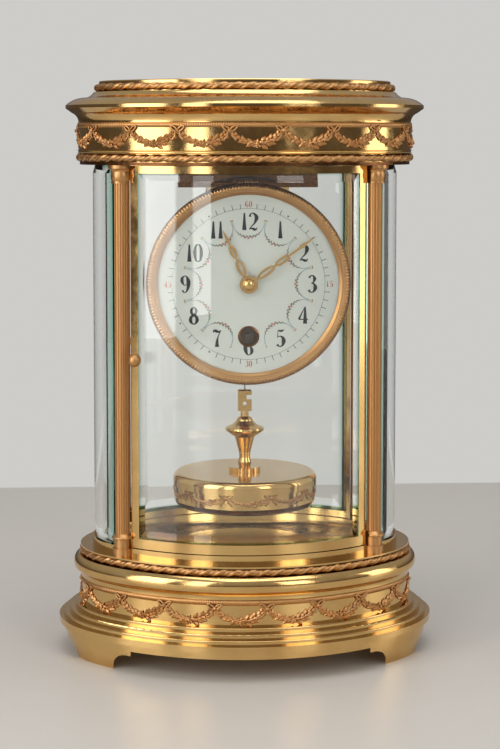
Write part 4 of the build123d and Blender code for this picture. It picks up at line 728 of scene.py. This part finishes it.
# A berry is beside every third of them
BERRY_RADIUS = 0.8 * MM
BERRY_FLATNESS = 0.9
BERRY_OFFSET, BERRY_RISE, SMALL_BERRY = 0.7 * MM, 0.5 * MM, 0.8
# The flower in its middle, and the berries there: x, height over the drop and rise in millimetres, size
FLOWER_LEAVES, FLOWER_LEAF = 6, 0.75
FLOWER_TURN = 0.3
FLOWER_HEIGHT, FLOWER_RISE = 0.2 * MM, 0.45 * MM
BERRIES = (
    (0.0, 0.2, 0.8, 1.15),
    (-2.6, 0.7, 0.6, 0.9),
    (2.6, 0.7, 0.6, 0.9),
    (0.2, -1.6, 0.2, 0.7),
    (-1.3, -1.2, 0.2, 0.7),
    (1.4, -1.2, 0.2, 0.7),
)
# The bow's loops, open by an angle at the knot, its tails, and the berry for its knot
LOOP_STEPS, TAIL_STEPS = 12, 7
LOOP_GAP = 0.4
LOOP_REACH, LOOP_BULGE, LOOP_SLOPE = 1.7 * MM, 1.0 * MM, 0.6
TAIL_LENGTH = 4.8 * MM
TAIL_START, TAIL_SPREAD, TAIL_WAVE = 0.4, 2.3, 0.35
KNOT_SIZE = 1.3


def make_garland(pitch, drop, leaf_length):
    """One bow and one swag, laid flat: X along the frieze, Y up from the bow's knot, Z out of the frieze."""
    pieces = []
    blade = leaf(leaf_length, leaf_length * BLADE_WIDTH, BLADE_LIFT)
    bead = berry(BERRY_RADIUS, BERRY_FLATNESS)
    for index in range(SWAG_LEAVES):
        share = (index + 0.5) / SWAG_LEAVES
        across = 2 * share - 1
        x = (share - 0.5) * pitch
        sag = -drop * (1 - across**2)
        slope = math.atan2(-drop * (-4 * across) / pitch, 1.0)
        size = END_LEAF + MIDDLE_LEAF_GAIN * math.sin(math.pi * share)
        way = slope if share > 0.5 else slope + math.pi
        for side in (1, -1):
            lean = side * (WIDE_LEAN if index % 2 else NARROW_LEAN)
            pieces.append(laid_out(blade, way + lean, x, sag + side * OUTER_OFFSET * size, OUTER_RISE, size))
        pieces.append(laid_out(blade, way, x, sag, TOP_RISE, size * TOP_LEAF))
        if index % 3 == 1:
            side = 1 if index % 2 else -1
            pieces.append(laid_out(bead, 0, x, sag + side * BERRY_OFFSET, BERRY_RISE, SMALL_BERRY * size))
    for index in range(FLOWER_LEAVES):
        turn = math.tau * index / FLOWER_LEAVES + FLOWER_TURN
        pieces.append(laid_out(blade, turn, 0, -drop + FLOWER_HEIGHT, FLOWER_RISE, FLOWER_LEAF))
    for x, y, z, size in BERRIES:
        pieces.append(laid_out(bead, 0, x * MM, -drop + y * MM, z * MM, size))
    knot = -pitch / 2
    for side in (1, -1):
        loop = []
        for step in range(LOOP_STEPS + 1):
            turn = LOOP_GAP + (math.tau - 2 * LOOP_GAP) * step / LOOP_STEPS
            reach = LOOP_REACH * (1 - math.cos(turn))
            loop.append((knot + side * reach, LOOP_BULGE * math.sin(turn) * side + LOOP_SLOPE * reach))
        pieces.append(ribbon(loop, width=1.0 * MM, thickness=0.7 * MM, lift=0.35 * MM))
        tail = []
        for step in range(TAIL_STEPS + 1):
            fall = step / TAIL_STEPS
            spread = TAIL_START + TAIL_SPREAD * fall + TAIL_WAVE * math.sin(9 * fall)
            tail.append((knot + side * spread * MM, -TAIL_LENGTH * fall))
        pieces.append(ribbon(tail, width=1.1 * MM, thickness=0.6 * MM, lift=0.15 * MM))
    pieces.append(laid_out(bead, 0, knot, 0.1 * MM, BERRY_RISE, KNOT_SIZE))
    whole = joined("garland", pieces)
    bpy.data.objects.remove(blade)
    bpy.data.objects.remove(bead)
    return whole


# Friezes: node, piece, reach of its face, and travel from the front's middle to the first garland
FRIEZES = (
    ("base_frieze", "base_garlands", 83.5 * MM, -5.4 * MM),
    ("cornice_frieze", "cornice_garlands", 84.0 * MM, 2.2 * MM),
)
KNOT_DEPTH = 4.3 * MM
GARLAND_SEAT = 0.05 * MM
# A reeded strip's section in millimetres, out from the frieze and down from its top, how far it stands off,
# and its thickness in the grooves and what the ribs add
REED_SECTION = ((0.0, -2.7), (0.5, -2.7), (0.5, -0.25), (0.0, -0.25))
REED_SEAT = 0.03
REED_GROOVE, REED_RIB = 0.62, 0.38


class CLOCK_OT_garlands(bpy.types.Operator):
    """Models the cast garlands and the reeded strips on both friezes"""

    bl_idname = "clock.garlands"
    bl_label = "Garlands"

    def execute(self, context):
        sizes = context.scene.clock_sizes
        for node, name, reach, start in FRIEZES:
            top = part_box(node)[1][2]
            length = oval_length(reach)
            pitch = length / sizes.garlands

            def wrap(index, co):
                spot = oval_spot(reach, start + index * pitch + co.x, max(0.0, co.z) + GARLAND_SEAT)
                return spot + Vector((0, 0, top - KNOT_DEPTH + co.y))

            pattern = make_garland(pitch, sizes.swag_drop, sizes.leaf_length)
            piece = repeated(name, pattern, range(sizes.garlands), wrap)
            dress(piece, "case", "copper gilt", replaces=["garland_castings"])

            ribs = round(length / sizes.rib_pitch)

            def reed(u, v):
                out, lift = REED_SECTION[round(v * len(REED_SECTION)) % len(REED_SECTION)]
                swell = REED_GROOVE + REED_RIB * abs(math.sin(math.pi * ribs * u))
                spot = oval_spot(reach, u * length, (REED_SEAT + out * swell) * MM)
                return spot + Vector((0, 0, top + lift * MM))

            strip = woven_grid(node + "_reeding", ribs * 4, len(REED_SECTION), reed)
            dress(strip, "case", "turned gilt")
        return {"FINISHED"}


# Strokes of the figures: runs of (x, y, width) in shares of the figure's height
FIGURES = {
    "0": [
        [(-0.19, 0.5, 0.15), (-0.13, 0.9, 0.09), (0, 0.99, 0.04), (0.13, 0.9, 0.09), (0.19, 0.5, 0.15),
         (0.13, 0.1, 0.09), (0, 0.01, 0.04), (-0.13, 0.1, 0.09), (-0.19, 0.5, 0.15)],
    ],
    "1": [
        [(0, 1.0, 0.07), (0, 0.5, 0.12), (0, 0, 0.19)],
    ],
    "2": [
        [(-0.17, 0.78, 0.12), (-0.15, 0.92, 0.06), (0, 0.99, 0.05), (0.17, 0.84, 0.14), (0.2, 0.68, 0.17),
         (0.1, 0.42, 0.08), (-0.1, 0.2, 0.04), (-0.22, 0.04, 0.03)],
        [(-0.22, 0.04, 0.03), (-0.08, 0.1, 0.07), (0.08, 0.04, 0.12), (0.18, 0.04, 0.07), (0.24, 0.15, 0.03)],
    ],
    "3": [
        [(-0.16, 0.86, 0.11), (-0.06, 0.98, 0.05), (0.08, 0.97, 0.07), (0.16, 0.8, 0.14), (0.08, 0.6, 0.06),
         (-0.04, 0.55, 0.03)],
        [(-0.04, 0.55, 0.03), (0.12, 0.5, 0.08), (0.2, 0.28, 0.17), (0.1, 0.06, 0.08), (-0.06, 0.01, 0.05),
         (-0.19, 0.14, 0.12)],
    ],
    "4": [
        [(0.1, 1.0, 0.06), (0.1, 0.5, 0.12), (0.1, 0, 0.18)],
        [(0.08, 0.95, 0.03), (-0.1, 0.6, 0.05), (-0.26, 0.25, 0.1)],
        [(-0.26, 0.25, 0.05), (0, 0.25, 0.04), (0.26, 0.25, 0.06)],
    ],
    "5": [
        [(-0.12, 0.96, 0.04), (0, 0.92, 0.09), (0.1, 0.93, 0.09), (0.22, 0.99, 0.03)],
        [(-0.12, 0.97, 0.03), (-0.14, 0.75, 0.03), (-0.16, 0.54, 0.03)],
        [(-0.16, 0.54, 0.03), (0, 0.61, 0.05), (0.16, 0.5, 0.13), (0.2, 0.3, 0.18), (0.12, 0.06, 0.08),
         (-0.04, 0.01, 0.05), (-0.18, 0.12, 0.12)],
    ],
    "6": [
        [(0.16, 0.84, 0.1), (0.06, 0.98, 0.04), (-0.08, 0.9, 0.07), (-0.18, 0.6, 0.15), (-0.18, 0.3, 0.17),
         (-0.08, 0.05, 0.07), (0.04, 0.01, 0.04), (0.17, 0.14, 0.12), (0.18, 0.32, 0.14), (0.08, 0.52, 0.05),
         (-0.04, 0.53, 0.03), (-0.14, 0.42, 0.03)],
    ],
    "7": [
        [(-0.22, 0.84, 0.03), (-0.18, 0.96, 0.08), (-0.04, 0.93, 0.13), (0.08, 0.88, 0.08),
         (0.22, 0.97, 0.03)],
        [(0.22, 0.97, 0.03), (0.06, 0.6, 0.05), (0, 0.3, 0.12), (0, 0, 0.19)],
    ],
    "8": [
        [(0, 0.54, 0.1), (-0.13, 0.66, 0.11), (-0.13, 0.86, 0.1), (0, 0.98, 0.04), (0.13, 0.86, 0.1),
         (0.13, 0.68, 0.1), (0, 0.54, 0.11), (-0.15, 0.42, 0.12), (-0.19, 0.22, 0.15), (-0.1, 0.05, 0.08),
         (0, 0.01, 0.05), (0.1, 0.05, 0.08), (0.19, 0.22, 0.15), (0.15, 0.42, 0.12), (0, 0.54, 0.1)],
    ],
}
FIGURES["9"] = [[(-x, 1 - y, width) for x, y, width in run] for run in FIGURES["6"]]
RUN_STEPS = 5
PRINT_DEPTH = 0.06 * MM


def between(a, b, c, d, t):
    """Value at a share t of the way from b to c, on a smooth curve through four values."""
    return 0.5 * (2 * b + (c - a) * t + (2 * a - 5 * b + 4 * c - d) * t**2 + (3 * b - a - 3 * c + d) * t**3)


def smooth_run(run):
    """Points between those of a stroke, on a smooth curve through them."""
    spots = []
    ends = [run[0], *run, run[-1]]
    for four in zip(ends, ends[1:], ends[2:], ends[3:]):
        for step in range(RUN_STEPS):
            spots.append([between(*values, step / RUN_STEPS) for values in zip(*four)])
    spots.append(run[-1])
    return spots


def stroke(run, height, width_share=1.0):
    """Printed stroke of changing width, as a thin closed slab in the XY plane."""
    spots = smooth_run(run)
    count = len(spots) - 1

    def place(u, v):
        index = round(u * count)
        x, y, width = spots[index]
        ahead = Vector(spots[min(count, index + 1)][:2]) - Vector(spots[max(0, index - 1)][:2])
        normal = Vector((-ahead.y, ahead.x)).normalized() * (width * width_share / 2)
        side, rise = ((1, 0), (1, 1), (-1, 1), (-1, 0))[round(v * 4) % 4]
        return Vector(((x + side * normal.x) * height, (y + side * normal.y) * height, rise * PRINT_DEPTH))

    piece = woven_grid("stroke", count, 4, place)
    fill_ends(piece)
    bpy.ops.object.shade_flat()
    return piece


def figures(number, height, spacing, width_share=1.0):
    """Number in figures, its middle at the origin of the XY plane."""
    text = str(number)
    pieces = []
    for index, mark in enumerate(text):
        shift = (index - (len(text) - 1) / 2) * spacing * height
        for run in FIGURES[mark]:
            piece = stroke(run, height, width_share)
            for point in piece.data.vertices:
                point.co += Vector((shift, -height / 2, 0))
            pieces.append(piece)
    return joined("figures", pieces)


def on_dial(piece, bearing, radius, rise, spin=0.0):
    """Moves a flat piece from the XY plane onto the dial, at a bearing clockwise from twelve."""
    turn = Matrix.Rotation(-spin, 3, "Z")
    front = DIAL_FRONT - rise
    for point in piece.data.vertices:
        flat = turn @ point.co
        point.co = DIAL_CENTRE + Vector(
            (flat.x + radius * math.sin(bearing), front - flat.z, flat.y + radius * math.cos(bearing))
        )
    return piece


def cut_winding_hole(piece):
    """Cuts the winding hole's ring out of a printed piece."""
    low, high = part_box("winding_grommet")
    deselect()
    bpy.ops.mesh.primitive_cylinder_add(
        vertices=48,
        radius=(high[0] - low[0]) / 2,
        depth=4 * MM,
        location=(Vector(low) + Vector(high)) / 2,
        rotation=(math.pi / 2, 0, 0),
    )
    cutter = named("cutter")
    only(piece)
    cut = piece.modifiers.new("cut", "BOOLEAN")
    cut.operation = "DIFFERENCE"
    cut.solver = "EXACT"
    cut.use_self = True
    cut.object = cutter
    bpy.ops.object.modifier_apply(modifier="cut")
    bpy.data.objects.remove(cutter)


# The dial's print: rise of the inks off the enamel, and of the leaves and gold over the painted ribbon
INK_RISE = 0.05 * MM
OVERPAINT_RISE = 0.1 * MM
# Numerals and quarter figures: steps from figure to figure in shares of their height, and heavier strokes
NUMERAL_STEP, ELEVEN_STEP, QUARTER_STEP = 0.5, 0.42, 0.62
NUMERAL_WEIGHT = 1.3
QUARTER_HEIGHT = 2.9 * MM
QUARTER_OFFSET = 0.9 * MM
# Minute marks as runs in millimetres, and the corners of the circle inside them: inward and off the enamel
MARK_HALF = 1.15
HOUR_MARK = [(0, -0.4, 0.3), (0, 0, 0.9), (0, 0.4, 0.3)]
MINUTE_MARK = [(0, -MARK_HALF, 0.28), (0, 0, 0.24), (0, MARK_HALF, 0.28)]
TRACK_CORNERS = ((0.0, 0.11), (0.12, 0.11), (0.12, 0.05), (0.0, 0.05))
TRACK_SIDES = 180
# Painted swag under a numeral, in millimetres and degrees: its band with thinner ends
SWAG_RADIUS = 7.7
BAND_STEPS = 12
BAND_START, BAND_SWEEP = -178, 176
BAND_WIDTH, BAND_END_WIDTH = 0.3, 0.2
# Its leaves, smaller towards the ends, and which of them are roses
SWAG_STROKES = 15
STROKE_SPREAD, STROKE_TAPER = 44, 0.55
STROKE_WAVE, STROKE_HALF, STROKE_WIDTH, STROKE_TIP = 0.42, 0.8, 0.95, 0.15
ROSES = (3, 6, 7, 9, 12)
# The gilt drop at each of its ends, and the hour without a swag
DROP_RADIUS, DROP_LEVEL, DROP_HALF, DROP_WIDTH, DROP_TIP = 7.9, 0.3, 0.4, 0.8, 0.3
NO_SWAG_HOUR = 6


def swag_strokes():
    """Strokes of a painted swag in millimetres round a numeral's middle, each with its paint and its rise."""
    band = []
    for step in range(BAND_STEPS + 1):
        turn = math.radians(BAND_START + BAND_SWEEP * step / BAND_STEPS)
        width = BAND_WIDTH if 2 < step < BAND_STEPS - 2 else BAND_END_WIDTH
        band.append((SWAG_RADIUS * math.cos(turn), SWAG_RADIUS * math.sin(turn), width))
    strokes = [("painted ribbon", band, INK_RISE)]
    for step in range(SWAG_STROKES):
        share = 2 * step / (SWAG_STROKES - 1) - 1
        turn = math.radians(-90 + STROKE_SPREAD * share)
        swell = 1 - STROKE_TAPER * abs(share)
        wave = (STROKE_WAVE if step % 2 else -STROKE_WAVE) * swell
        x, y = (SWAG_RADIUS + wave) * math.cos(turn), (SWAG_RADIUS + wave) * math.sin(turn)
        lean = turn + math.pi / 2 + wave * 2
        dx, dy = STROKE_HALF * swell * math.cos(lean), STROKE_HALF * swell * math.sin(lean)
        run = [(x - dx, y - dy, STROKE_TIP), (x, y, STROKE_WIDTH * swell), (x + dx, y + dy, STROKE_TIP)]
        strokes.append(("painted rose" if step in ROSES else "painted leaf", run, OVERPAINT_RISE))
    for side in (-1, 1):
        x = side * DROP_RADIUS
        run = [(x + along * DROP_HALF, DROP_LEVEL, DROP_TIP if along else DROP_WIDTH) for along in (-1, 0, 1)]
        strokes.append(("painted gold", run, OVERPAINT_RISE))
    return strokes


class CLOCK_OT_dial(bpy.types.Operator):
    """Prints the dial: numerals, minute track, quarter figures and painted garlands"""

    bl_idname = "clock.dial"
    bl_label = "Dial"

    def execute(self, context):
        sizes = context.scene.clock_sizes
        numerals = []
        for hour in range(1, 13):
            step = ELEVEN_STEP if hour == 11 else NUMERAL_STEP
            numeral = figures(hour, sizes.numeral_height, step, NUMERAL_WEIGHT)
            numerals.append(on_dial(numeral, math.tau * hour / 12, sizes.numeral_ring, INK_RISE))
        numerals = joined("dial_numerals", numerals)
        cut_winding_hole(numerals)
        dress(numerals, "case", "numeral ink")

        quarters = []
        for minute in (60, 15, 30, 45):
            quarter = figures(minute, QUARTER_HEIGHT, QUARTER_STEP)
            reach = sizes.minute_ring + QUARTER_OFFSET
            quarters.append(on_dial(quarter, math.tau * minute / 60, reach, INK_RISE))
        dress(joined("dial_quarters", quarters), "case", "red ink")

        marks = []
        for minute in range(60):
            if minute % 15:
                bearing = math.tau * minute / 60
                mark = stroke(MINUTE_MARK if minute % 5 else HOUR_MARK, MM)
                marks.append(on_dial(mark, bearing, sizes.minute_ring, INK_RISE, bearing))
        dress(joined("dial_minutes", marks), "case", "numeral ink")

        def track(u, v):
            inward, rise = TRACK_CORNERS[round(v * 4) % 4]
            reach = sizes.minute_ring - (MARK_HALF + inward) * MM
            return dial_spot(reach, math.tau * u, DIAL_FRONT - rise * MM)

        circle = woven_grid("dial_track", TRACK_SIDES, len(TRACK_CORNERS), track)
        dress(circle, "case", "numeral ink")

        paints = {"painted ribbon": [], "painted leaf": [], "painted rose": [], "painted gold": []}
        for hour in range(1, 13):
            if hour != NO_SWAG_HOUR:
                bearing = math.tau * hour / 12
                for paint, run, rise in swag_strokes():
                    paints[paint].append(on_dial(stroke(run, MM), bearing, sizes.numeral_ring, rise, bearing))
        for paint, pieces in paints.items():
            dress(joined("dial_" + paint.split()[1], pieces), "case", paint)
        return {"FINISHED"}


# Bezel: radius, depth behind its front and depth of the milled ribs, in millimetres, round its section
BEZEL_SECTION = (
    (43.9, 1.9, 0), (44.1, 1.5, 0), (44.9, 1.35, 0), (45.3, 0.75, 0), (45.6, 0.55, 0),
    (45.9, 0.75, 0), (46.2, 0.45, 0), (46.5, 0.2, 0), (46.8, 0.4, 0.2), (47.1, 0.1, 0.3),
    (47.5, 0, 0.36), (48.2, 0.12, 0.36), (48.9, 0.45, 0.36), (49.5, 1.0, 0.3), (49.8, 1.8, 0.2),
    (49.8, 3.3, 0), (48.25, 3.4, 0), (48.25, 2.75, 0), (44.0, 2.65, 0),
)
# Cap over the hands: its bore and the metal over it, then the heights of its foot and rim and the radii of its
# rim and dome in shares, and the angle at which the dome starts
CAP_BORE = 0.86 * MM
CAP_CROWN, CAP_CROWN_EDGE = 0.72 * MM, 0.74 * MM
CAP_FOOT, CAP_RIM = 0.12, 0.2
CAP_RIM_RADIUS, CAP_DOME_RADIUS = 0.93, 0.9
CAP_START = 12
CAP_STEPS = 7
CAP_SIDES = 48


class CLOCK_OT_bezel(bpy.types.Operator):
    """Models the milled bezel and the domed cap over the hands"""

    bl_idname = "clock.bezel"
    bl_label = "Bezel and cap"

    def execute(self, context):
        ribs = context.scene.clock_sizes.bezel_ribs
        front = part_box("bezel")[0][1]

        def place(u, v):
            radius, depth, rib = BEZEL_SECTION[round(v * len(BEZEL_SECTION)) % len(BEZEL_SECTION)]
            cut = rib * (0.5 - 0.5 * math.cos(math.tau * ribs * u))
            return dial_spot((radius - cut) * MM, math.tau * u, front + (depth + cut) * MM)

        bezel = woven_grid("bezel_milled", ribs * 4, len(BEZEL_SECTION), place)
        dress(bezel, "case", "turned gilt", replaces=["bezel"])

        low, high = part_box("hand_nut")
        top, bottom = low[1], high[1]
        rise = bottom - top
        radius = (high[0] - low[0]) / 2
        section = [
            (CAP_BORE, bottom),
            (radius, bottom),
            (radius, bottom - rise * CAP_FOOT),
            (radius * CAP_RIM_RADIUS, bottom - rise * CAP_RIM),
        ]
        for step in range(CAP_STEPS + 1):
            turn = math.radians(CAP_START + (90 - CAP_START) * step / CAP_STEPS)
            height = rise * (CAP_RIM + (1 - CAP_RIM) * math.sin(turn))
            section.append((radius * CAP_DOME_RADIUS * math.cos(turn), bottom - height))
        section += [(0, top), (0, top + CAP_CROWN), (CAP_BORE, top + CAP_CROWN_EDGE)]

        def turned(u, v):
            reach, depth = section[round(v * len(section)) % len(section)]
            return dial_spot(reach, math.tau * u, depth)

        cap = woven_grid("hand_cap", CAP_SIDES, len(section), turned)
        dress(cap, "centre_arbor", "polished brass", replaces=["hand_nut"])
        return {"FINISHED"}


# Relief round the pendulum's disc: a garland's sizes, and its depth and height in shares of a frieze's
RELIEF_RADIUS = 36.0 * MM
RELIEF_LEVEL = 80.9 * MM
RELIEF_SEAT = 0.02 * MM
RELIEF_GARLANDS = 10
RELIEF_DROP = 3.4 * MM
RELIEF_LEAF = 2.1 * MM
RELIEF_DEPTH, RELIEF_HEIGHT = 0.35, 0.8


class CLOCK_OT_pendulum(bpy.types.Operator):
    """Models the relief round the pendulum's disc"""

    bl_idname = "clock.pendulum"
    bl_label = "Pendulum"

    def execute(self, context):
        def wrap(index, co):
            angle = math.tau * index / RELIEF_GARLANDS + co.x / RELIEF_RADIUS
            reach = RELIEF_RADIUS + RELIEF_SEAT + max(0.0, co.z) * RELIEF_DEPTH
            height = RELIEF_LEVEL + co.y * RELIEF_HEIGHT
            return PENDULUM_AXIS + Vector((reach * math.sin(angle), -reach * math.cos(angle), height))

        pattern = make_garland(math.tau * RELIEF_RADIUS / RELIEF_GARLANDS, RELIEF_DROP, RELIEF_LEAF)
        piece = repeated("pendulum_relief", pattern, range(RELIEF_GARLANDS), wrap)
        dress(piece, "pendulum", "copper gilt")
        return {"FINISHED"}


# Capitals: the columns' place in millimetres, a leaf's length, width and lift, and the ring of leaves
COLUMN_X, COLUMN_Y = 62.3, 32.0
PETAL = (3.0 * MM, 1.9 * MM, 0.5 * MM)
PETALS = 12
PETAL_RING = 4.25 * MM
PETAL_RISE = 1.3 * MM
PETAL_DEPTH = 0.9
# A leaf that faces the middle of the case more than this is left out
PETAL_INWARD = 0.55


class CLOCK_OT_capitals(bpy.types.Operator):
    """Adds the leaf rings of the column capitals"""

    bl_idname = "clock.capitals"
    bl_label = "Capitals"

    def execute(self, context):
        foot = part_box("column_capitals")[0][2]
        seats = []
        for side_x in (1, -1):
            for side_y in (1, -1):
                centre = Vector((side_x * COLUMN_X, side_y * COLUMN_Y, 0)) * MM
                for index in range(PETALS):
                    angle = math.tau * (index + 0.5) / PETALS
                    outward = Vector((math.cos(angle), math.sin(angle), 0))
                    sideways = Vector((-math.sin(angle), math.cos(angle), 0))
                    if -outward.x * side_x <= PETAL_INWARD:
                        seats.append((centre, outward, sideways))

        def stand(seat, co):
            centre, outward, sideways = seat
            reach = PETAL_RING + co.z * PETAL_DEPTH
            return centre + outward * reach + sideways * co.y + Vector((0, 0, foot + PETAL_RISE + co.x))

        dress(repeated("capital_leaves", leaf(*PETAL), seats, stand), "case", "copper gilt")
        return {"FINISHED"}


class CLOCK_PT_panel(bpy.types.Panel):
    """Lists the clock's pieces and settings"""

    bl_idname = "CLOCK_PT_panel"
    bl_label = "Clock"
    bl_space_type = "VIEW_3D"
    bl_region_type = "UI"
    bl_category = "Clock"

    def draw(self, context):
        for settings in (context.scene.clock_sizes, context.scene.clock_colours):
            for label in settings.__annotations__:
                self.layout.prop(settings, label)
        for operator in OPERATORS:
            self.layout.operator(operator.bl_idname)


OPERATORS = (
    CLOCK_OT_finishes,
    CLOCK_OT_stage,
    CLOCK_OT_ropes,
    CLOCK_OT_garlands,
    CLOCK_OT_dial,
    CLOCK_OT_bezel,
    CLOCK_OT_pendulum,
    CLOCK_OT_capitals,
)
CLASSES = (ClockSizes, ClockColours, *OPERATORS, CLOCK_PT_panel)


def register():
    """Registers the classes and the settings."""
    for each in CLASSES:
        bpy.utils.register_class(each)
    bpy.types.Scene.clock_sizes = bpy.props.PointerProperty(type=ClockSizes)
    bpy.types.Scene.clock_colours = bpy.props.PointerProperty(type=ClockColours)


def unregister():
    """Removes the settings and the classes."""
    del bpy.types.Scene.clock_sizes
    del bpy.types.Scene.clock_colours
    for each in reversed(CLASSES):
        bpy.utils.unregister_class(each)


def main():
    """Builds the looks in order."""
    register()
    bpy.ops.clock.finishes()
    bpy.ops.clock.stage()
    bpy.ops.clock.ropes()
    bpy.ops.clock.garlands()
    bpy.ops.clock.dial()
    bpy.ops.clock.bezel()
    bpy.ops.clock.pendulum()
    bpy.ops.clock.capitals()


if __name__ == "__main__":
    main()
